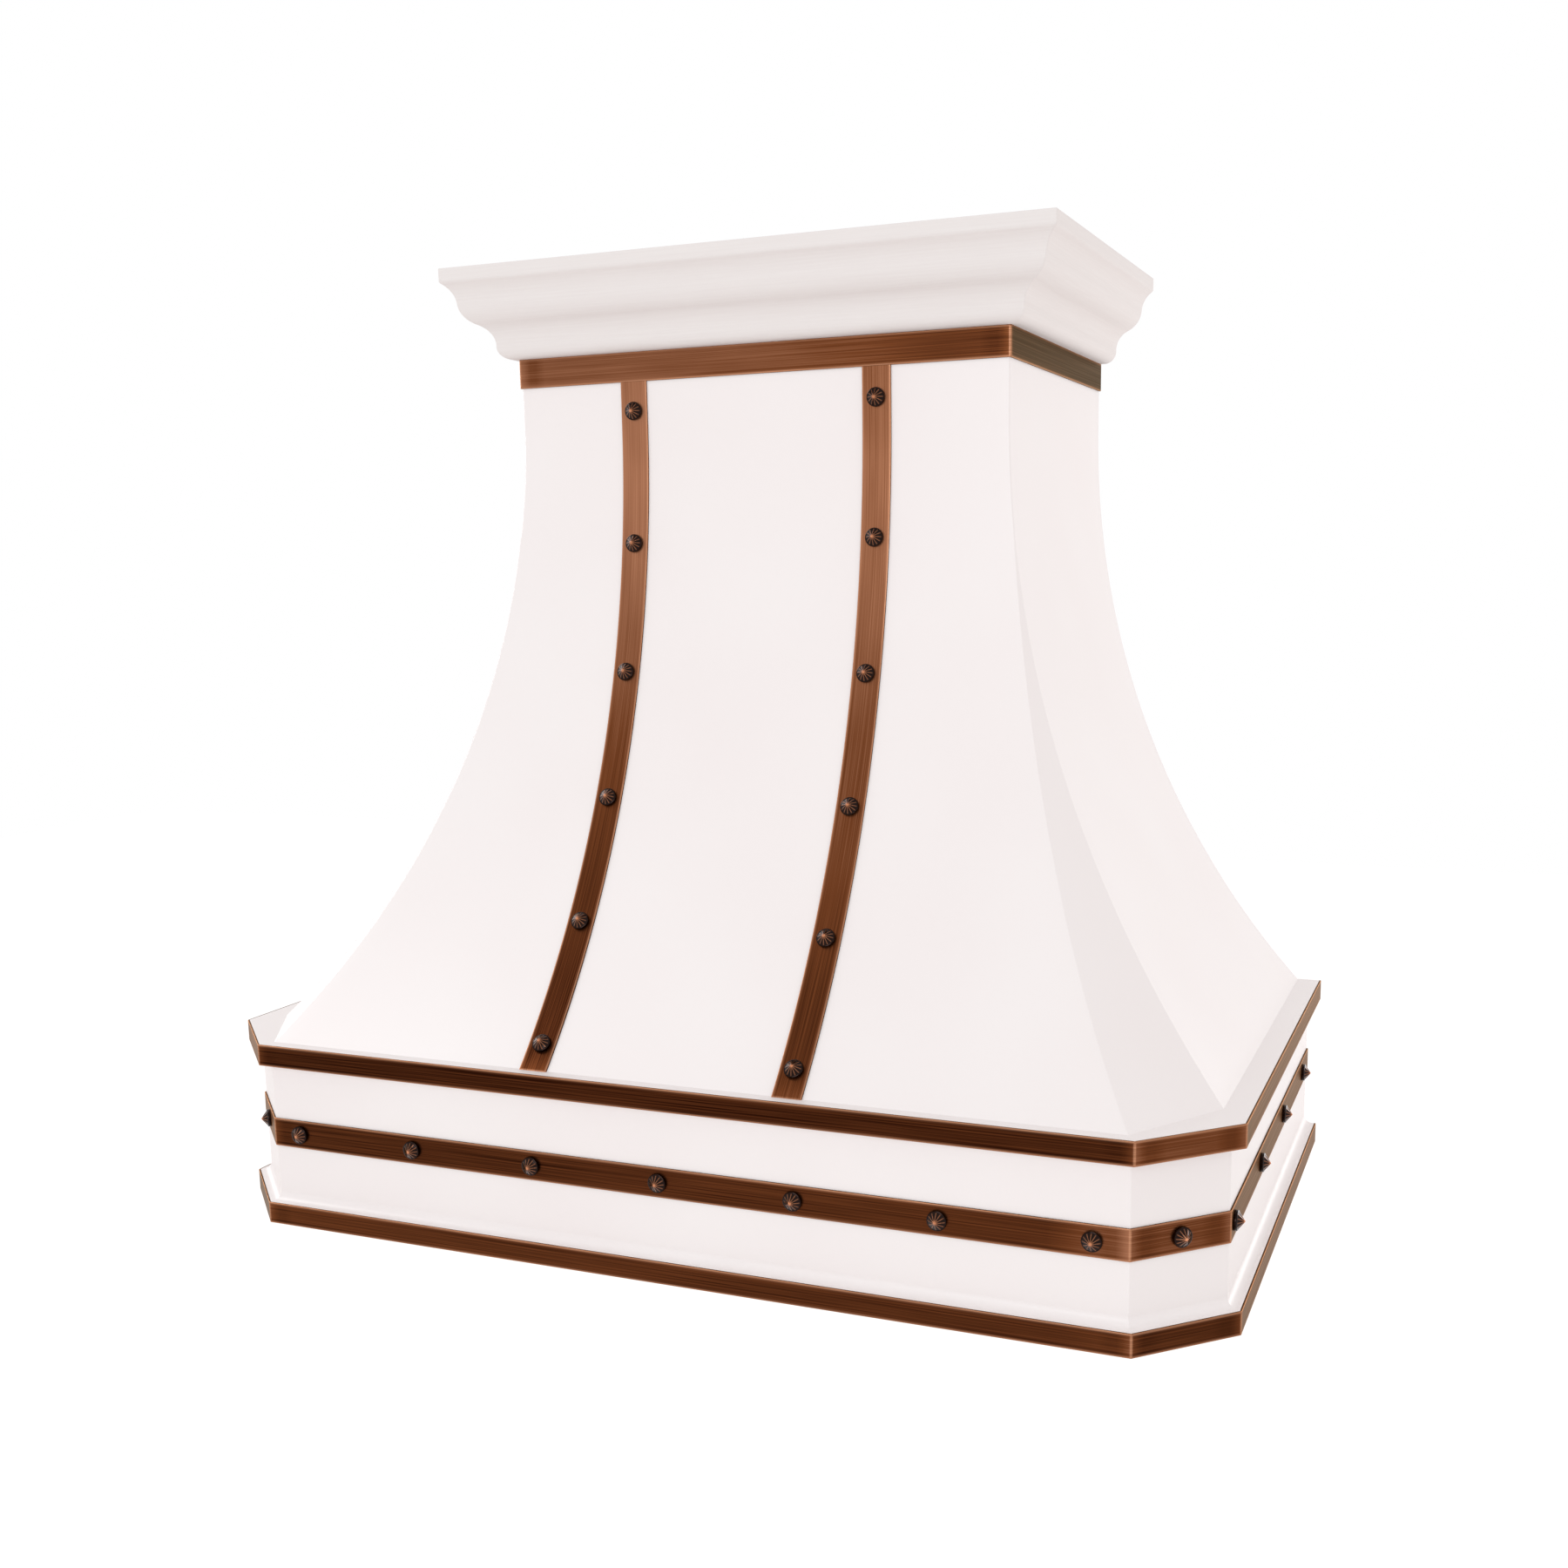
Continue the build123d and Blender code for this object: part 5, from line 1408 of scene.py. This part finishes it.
        # Rows lie closer together near the strap's end, which is rubbed
        share = np.concatenate([np.linspace(0, 1, 90)[:-1] * 0.992,
                                [0.9935, 0.995, 0.997, 0.9985, 1.0]])
        turn = share[:, None] * last
        curved = np.stack([curve.centre - radius * np.cos(turn),
                           self.bell.curve_top - radius * np.sin(turn)], axis=-1)
        plumb_z = np.linspace(top, self.bell.curve_top, 6)[:-1]
        size = (len(plumb_z), radius.shape[1])
        plumb = np.stack([np.broadcast_to(curve.centre - radius, size),
                          np.broadcast_to(plumb_z[:, None], size)], axis=-1)
        out_up = np.concatenate([plumb, curved])
        x = side * self.strap_x - self.strap_width / 2 + profile.place
        points = np.stack([np.broadcast_to(x, out_up.shape[:2]), -out_up[..., 0],
                           out_up[..., 1]], axis=-1)
        moved = np.linalg.norm(np.diff(points[:, 0], axis=0), axis=-1)
        along = np.concatenate([[0.0], np.cumsum(moved)])
        values = strip_values(profile, along + self.streaks_apart * side)
        values["wear"] = np.maximum(values["wear"], np.clip(
            1 - (along[-1] - along) / self.end_wear, 0, 1)[:, None])
        # Partly painted reflection: barer towards the top, darker towards the foot
        bareness_and_sheen = np.interp(along / along[-1], self.strap_shares,
                             self.right_bareness_and_sheen if side > 0 else self.left_bareness_and_sheen)
        bareness_and_sheen += self.gleam * np.exp(-((along[-1] - along) / self.end_gleam) ** 2)
        cut = np.where(profile.depth > self.ease, self.back_share, 1.0)
        values["bareness_and_sheen"] = bareness_and_sheen[:, None] * cut[None]
        return Skin(points, values)

    def build(self) -> list[bpy.types.Object]:
        """Makes the four bands and the two straps.

        Returns:
            The new pieces.
        """
        made = [dress(make_piece(f"copper_{band.name}", [self.band_skin(band)]), COPPER,
                      "antique_copper", band.name) for band in self.bands]
        for name, side in (("left_strap", -1), ("right_strap", 1)):
            made.append(dress(make_piece(f"copper_{name}", [self.strap_skin(side)]), COPPER,
                              "antique_copper", name))
        return made


# Clavos


@dataclass(frozen=True)
class Clavos:
    """Decorative nail heads: a low round collar under a twelve-sided, slightly hollow point."""

    hood: Hood
    trim: CopperTrim
    radius: float = 8.0
    collar: float = 2.8
    cone: float = 5.0
    cone_radius: float = 7.0
    tip_radius: float = 0.4
    facets: int = 12
    hollow: float = 0.18
    strap_count: int = 6
    strap_margin: float = 25.4
    front_count: int = 7
    front_margin: float = 28.0
    side_count: int = 4
    side_margin: float = 15.5
    wall_margin: float = 43.1
    seat_gap: float = 0.01
    sharp: float = 9.0

    def shape(self) -> tuple[np.ndarray, np.ndarray]:
        """Works out one clavo standing on its base at the origin, on rows up and columns round.

        The cone's radius at angle t is that of a regular polygon, r * cos(h) / cos(u - h), where h
        is half a facet's angle and u is the angle into the facet. Each facet is hollowed by
        hollow * sin(pi * s) * (1 - |2 * f - 1|), s up the cone and f across the facet.

        Returns:
            Points, rows by columns by 3, and wear, rows by columns.
        """
        share = np.array([0.0, 0.1, 0.25, 0.5, 0.75, 0.9])
        step = 2 * np.pi / self.facets
        angle = ((np.arange(self.facets)[:, None] + share[None]) * step).ravel()
        across = np.tile(share, self.facets)
        polygon = np.cos(step / 2) / np.cos((across - 0.5) * step)
        up = np.array([0.0, 0.05, 0.18, 0.38, 0.6, 0.8, 0.93, 1.0])
        low_radius = np.append(np.array([0.0, 0.97, 1.0, 1.0, 0.975]) * self.radius,
                               self.cone_radius + 0.3)
        low_z = np.array([0.0, 0.0, 0.25, self.collar - 0.8, self.collar - 0.25, self.collar])
        size = (len(low_z), len(angle))
        collar_radius = np.broadcast_to(low_radius[:, None], size)
        collar_z = np.broadcast_to(low_z[:, None], size)
        line = self.cone_radius * (1 - up) + self.tip_radius * up
        cone_radius = line[:, None] * polygon[None]
        valley = 1 - np.abs(2 * across - 1)
        cone_z = (self.collar + self.cone * up)[:, None] - (
            self.hollow * np.sin(np.pi * up))[:, None] * valley[None]
        tip_radius = np.zeros((1, len(angle)))
        tip_z = np.full((1, len(angle)), self.collar + self.cone)
        radius = np.concatenate([collar_radius, cone_radius, tip_radius])
        z = np.concatenate([collar_z, cone_z, tip_z])
        points = np.stack([radius * np.cos(angle), radius * np.sin(angle), z], axis=-1)
        ridge = np.interp(across, [0.0, 0.1, 0.25, 0.75, 0.9], [1.0, 0.35, 0.0, 0.0, 0.35])
        cone_wear = np.maximum(ridge[None] * (0.3 + 0.6 * up[:, None]),
                               np.clip((up - 0.76) / 0.16, 0, 1)[:, None])
        cone_wear[0] *= 0.3
        wear = np.concatenate([np.zeros(size), cone_wear, np.ones((1, len(angle)))])
        return points, wear

    def band_places(self) -> tuple[np.ndarray, np.ndarray]:
        """Finds the clavos' seats on the middle band.

        Returns:
            Seats and the directions that they face, places by 3.
        """
        band = self.trim.bands[1]
        face = self.hood.corners(band.outline, np.array([band.setback]))[0]
        z = band.low + band.width / 2
        front_x = np.linspace(-1, 1, self.front_count) * (face[3, 0] - self.front_margin)
        front = np.stack([front_x, np.full(self.front_count, face[3, 1])], axis=-1)
        corner = (face[3] + face[4]) / 2
        side_y = np.linspace(face[4, 1] + self.side_margin, self.hood.wall_y - self.wall_margin,
                             self.side_count)
        side = np.stack([np.full(self.side_count, face[4, 0]), side_y], axis=-1)
        plan = np.concatenate([front, [corner, corner * [-1, 1]], side, side * [-1, 1]])
        diagonal = np.sqrt(0.5)
        ways = np.concatenate([
            np.tile([0.0, -1.0], (self.front_count, 1)),
            [[diagonal, -diagonal], [-diagonal, -diagonal]],
            np.tile([1.0, 0.0], (self.side_count, 1)),
            np.tile([-1.0, 0.0], (self.side_count, 1))])
        seats = np.concatenate([plan, np.full((len(plan), 1), z)], axis=-1)
        return seats, np.concatenate([ways, np.zeros((len(ways), 1))], axis=-1)

    def strap_places(self) -> tuple[np.ndarray, np.ndarray]:
        """Finds the clavos' seats on both straps, evenly spaced down the strap's face.

        Returns:
            Seats and the directions that they face, places by 3.
        """
        bell, hood = self.trim.bell, self.hood
        curve = bell.front
        radius = curve.radius - hood.seam - hood.copper
        plumb = hood.crown_bottom - hood.top_band - bell.curve_top
        last = np.arcsin((bell.curve_top - hood.ledge_top - hood.seam) / radius)
        down = np.linspace(self.strap_margin, plumb + radius * last - self.strap_margin,
                           self.strap_count)
        turn = np.maximum(down - plumb, 0) / radius
        drop = np.minimum(down, plumb) + radius * np.sin(turn)
        out = curve.centre - radius * np.cos(turn)
        ways = np.stack([np.zeros_like(turn), -np.cos(turn), np.sin(turn)], axis=-1)
        seat = np.stack([np.zeros_like(turn), -out, hood.crown_bottom - hood.top_band - drop],
                        axis=-1)
        seat += ways * (self.radius**2 / (2 * radius) + self.seat_gap)
        x = [self.trim.strap_x, 0, 0]
        return np.concatenate([seat + x, seat - x]), np.concatenate([ways, ways])

    def skins(self, seats: np.ndarray, ways: np.ndarray) -> list[Skin]:
        """Turns the shape to face each way and moves it to each seat, all in one product.

        Args:
            seats: Places by 3.
            ways: The directions that the points face, places by 3.

        Returns:
            One skin for each clavo.
        """
        points, wear = self.shape()
        level = np.stack([-ways[:, 1], ways[:, 0], np.zeros(len(ways))], axis=-1)
        level /= np.linalg.norm(level, axis=-1, keepdims=True)
        turns = np.stack([level, np.cross(ways, level), ways], axis=-1)
        placed = np.einsum("nij,rcj->nrci", turns, points) + seats[:, None, None]
        return [Skin(one, {"wear": wear}, capped=False) for one in placed]

    def build(self) -> list[bpy.types.Object]:
        """Makes the strap clavos and the band clavos, each as one node's piece.

        Returns:
            The new pieces.
        """
        return [dress(make_piece(name, self.skins(*places), self.sharp), CLAVO_COPPER,
                      "antique_copper", node)
                for name, node, places in (
                    ("stamped_strap_clavos", "strap_clavos", self.strap_places()),
                    ("stamped_band_clavos", "band_clavos", self.band_places()))]


# The inside


@dataclass(frozen=True)
class Inside:
    """The ledges, the liner, the filters, the lamps, the controls, the fan and the duct.

    Their shapes are the model's own, and each gets the finish of its slot.
    """

    lengthways: tuple[str, ...] = ("baffles", "handle")

    def build(self) -> int:
        """Puts each shown node's finish on it.

        Returns:
            How many nodes were dressed.
        """
        count = 0
        for row in frame["record"]["subparts"]:
            name, slot = row["node"], row["material_slot"]
            node = frame["nodes"][name]
            if node.hide_render:
                continue
            finish = SLOT_FINISHES[slot]
            if slot == "stainless" and name.endswith(self.lengthways):
                finish = STAINLESS_LENGTHWAYS
            node.material_slots[0].material = finish.material()
            log.info("%s: %s", name, finish.name)
            count += 1
        return count


# The studio


@dataclass(frozen=True)
class Lamp:
    """A soft box: its name, place, target, width and height in metres, and strength in watts.

    One that is there for its shine only shows in glossy surfaces, as a card close to them does.
    """

    name: str
    place: tuple[float, float, float]
    target: tuple[float, float, float]
    size: tuple[float, float]
    watts: float
    colour: str = "#ffffff"
    shine_only: bool = False


@dataclass(frozen=True)
class Studio:
    """A white floor and sky, soft boxes, and the camera that was fitted to the photograph."""

    place: tuple[float, float, float] = (0.6300, -1.4523, 0.5676)
    right: tuple[float, float, float] = (0.92153, 0.38794, -0.01698)
    down: tuple[float, float, float] = (0.05274, -0.16835, -0.98432)
    lens_mm: float = 39.774
    shift: tuple[float, float] = (-0.00671, 0.06246)
    sky: float = 0.84
    sky_colour: str = "#fffcfb"
    floor_half: float = 12.0
    floor_z: float = -1.67
    floor_bounce: str = "#faf7f6"
    floor_shown: str = "#bcbab9"
    floor_glow: float = 0.66
    lamps: tuple[Lamp, ...] = (
        Lamp("front_box", (0.2, -2.5, 0.95), (0.0, -0.1, 0.35), (1.3, 1.1), 13.0, "#eefaff"),
        Lamp("left_box", (-2.83, 0.82, 0.9), (0.0, -0.1, 0.4), (0.6, 0.7), 12.0),
        Lamp("left_card", (-1.95, -0.4, 1.9), (0.0, -0.15, 0.4), (1.0, 1.0), 21.0,
             shine_only=True),
        Lamp("right_back_box", (1.9, 2.1, 0.2), (0.1, 0.0, 0.3), (1.4, 1.0), 14.0),
    )

    def camera(self) -> bpy.types.Object:
        """Makes the camera from its place and its right and down directions.

        Returns:
            The camera.
        """
        data = bpy.data.cameras.new("photo_camera")
        data.sensor_width, data.lens = 36.0, self.lens_mm
        data.shift_x, data.shift_y = self.shift
        camera = bpy.data.objects.new("photo_camera", data)
        right = np.array(self.right) / np.linalg.norm(self.right)
        up = -np.array(self.down)
        up -= right * (up @ right)
        up /= np.linalg.norm(up)
        world = np.eye(4)
        world[:3, :3] = np.stack([right, up, np.cross(right, up)], axis=-1)
        world[:3, 3] = self.place
        camera.matrix_world = Matrix(world.tolist())
        bpy.context.scene.collection.objects.link(camera)
        bpy.context.scene.camera = camera
        return camera

    def seen(self, tree: bpy.types.NodeTree) -> bpy.types.NodeSocket:
        """Adds a switch that is 1 for what the camera sees, straight, mirrored or through glass.

        Args:
            tree: Node tree that gets the switch.

        Returns:
            The switch's output.
        """
        rays = add_node(tree, "LightPath")
        some = add_node(tree, "Math", {0: rays.outputs["Is Camera Ray"],
                                       1: rays.outputs["Is Glossy Ray"]}, operation="MAXIMUM")
        return add_node(tree, "Math", {0: some.outputs[0],
                                       1: rays.outputs["Is Transmission Ray"]},
                        operation="MAXIMUM").outputs[0]

    def sky_light(self) -> None:
        """Lights from all round at the sky's strength, and shows as plain white."""
        world = bpy.data.worlds.new("white_studio")
        bpy.context.scene.world = world
        world.use_nodes = True
        tree = world.node_tree
        tree.nodes.clear()
        light = add_node(tree, "Background", {0: linear(self.sky_colour), 1: self.sky})
        white = add_node(tree, "Background", {0: (1.0, 1.0, 1.0, 1.0), 1: 1.0})
        both = add_node(tree, "MixShader", {0: self.seen(tree), 1: light.outputs[0],
                                            2: white.outputs[0]})
        add_node(tree, "OutputWorld", {0: both.outputs[0]})

    def floor(self) -> bpy.types.Object:
        """Makes the floor, as far under the hood as a kitchen's, white with its soft shadow.

        Returns:
            The floor.
        """
        half = self.floor_half
        x, y = np.meshgrid([-half, half], [-half, half])
        corners = np.stack([x, y, np.full_like(x, self.floor_z)], axis=-1).reshape(-1, 3)
        mesh = bpy.data.meshes.new("floor")
        mesh.from_pydata(corners, [], [(0, 1, 3, 2)])
        floor = bpy.data.objects.new("floor", mesh)
        bpy.context.scene.collection.objects.link(floor)
        material = bpy.data.materials.new("white_floor")
        material.use_nodes = True
        tree = material.node_tree
        tree.nodes.clear()
        bounce = add_node(tree, "BsdfDiffuse", {0: linear(self.floor_bounce)})
        shown = add_node(tree, "BsdfDiffuse", {0: linear(self.floor_shown)})
        glow = add_node(tree, "Emission", {0: (1.0, 1.0, 1.0, 1.0), 1: self.floor_glow})
        lit = add_node(tree, "AddShader", {0: shown.outputs[0], 1: glow.outputs[0]})
        both = add_node(tree, "MixShader", {0: self.seen(tree), 1: bounce.outputs[0],
                                            2: lit.outputs[0]})
        add_node(tree, "OutputMaterial", {0: both.outputs[0]})
        mesh.materials.append(material)
        return floor

    def build(self) -> None:
        """Makes the camera, the sky, the floor and the soft boxes."""
        bpy.context.scene.view_settings.view_transform = "Standard"
        self.camera()
        self.sky_light()
        self.floor()
        for lamp in self.lamps:
            data = bpy.data.lights.new(lamp.name, "AREA")
            data.shape = "RECTANGLE"
            data.size, data.size_y = lamp.size
            data.energy = lamp.watts
            data.color = linear(lamp.colour)[:3]
            box = bpy.data.objects.new(lamp.name, data)
            box.location = lamp.place
            box.rotation_euler = (Vector(lamp.target) - Vector(lamp.place)).to_track_quat(
                "-Z", "Y").to_euler()
            box.visible_diffuse = not lamp.shine_only
            bpy.context.scene.collection.objects.link(box)


def main() -> None:
    """Builds the sub-assemblies in order, dresses the inside, and lights the studio."""
    logging.basicConfig(level=logging.INFO, format="%(name)s: %(message)s")
    hood = Hood()
    Studio().build()
    bell = Bell(hood)
    trim = CopperTrim(hood, bell)
    pieces = bell.build() + Apron(hood).build() + Crown(hood).build() + trim.build()
    pieces += Clavos(hood, trim).build()
    count = Inside().build()
    log.info("%d new pieces, %d nodes of the model", len(pieces), count)


if __name__ == "__main__":
    main()
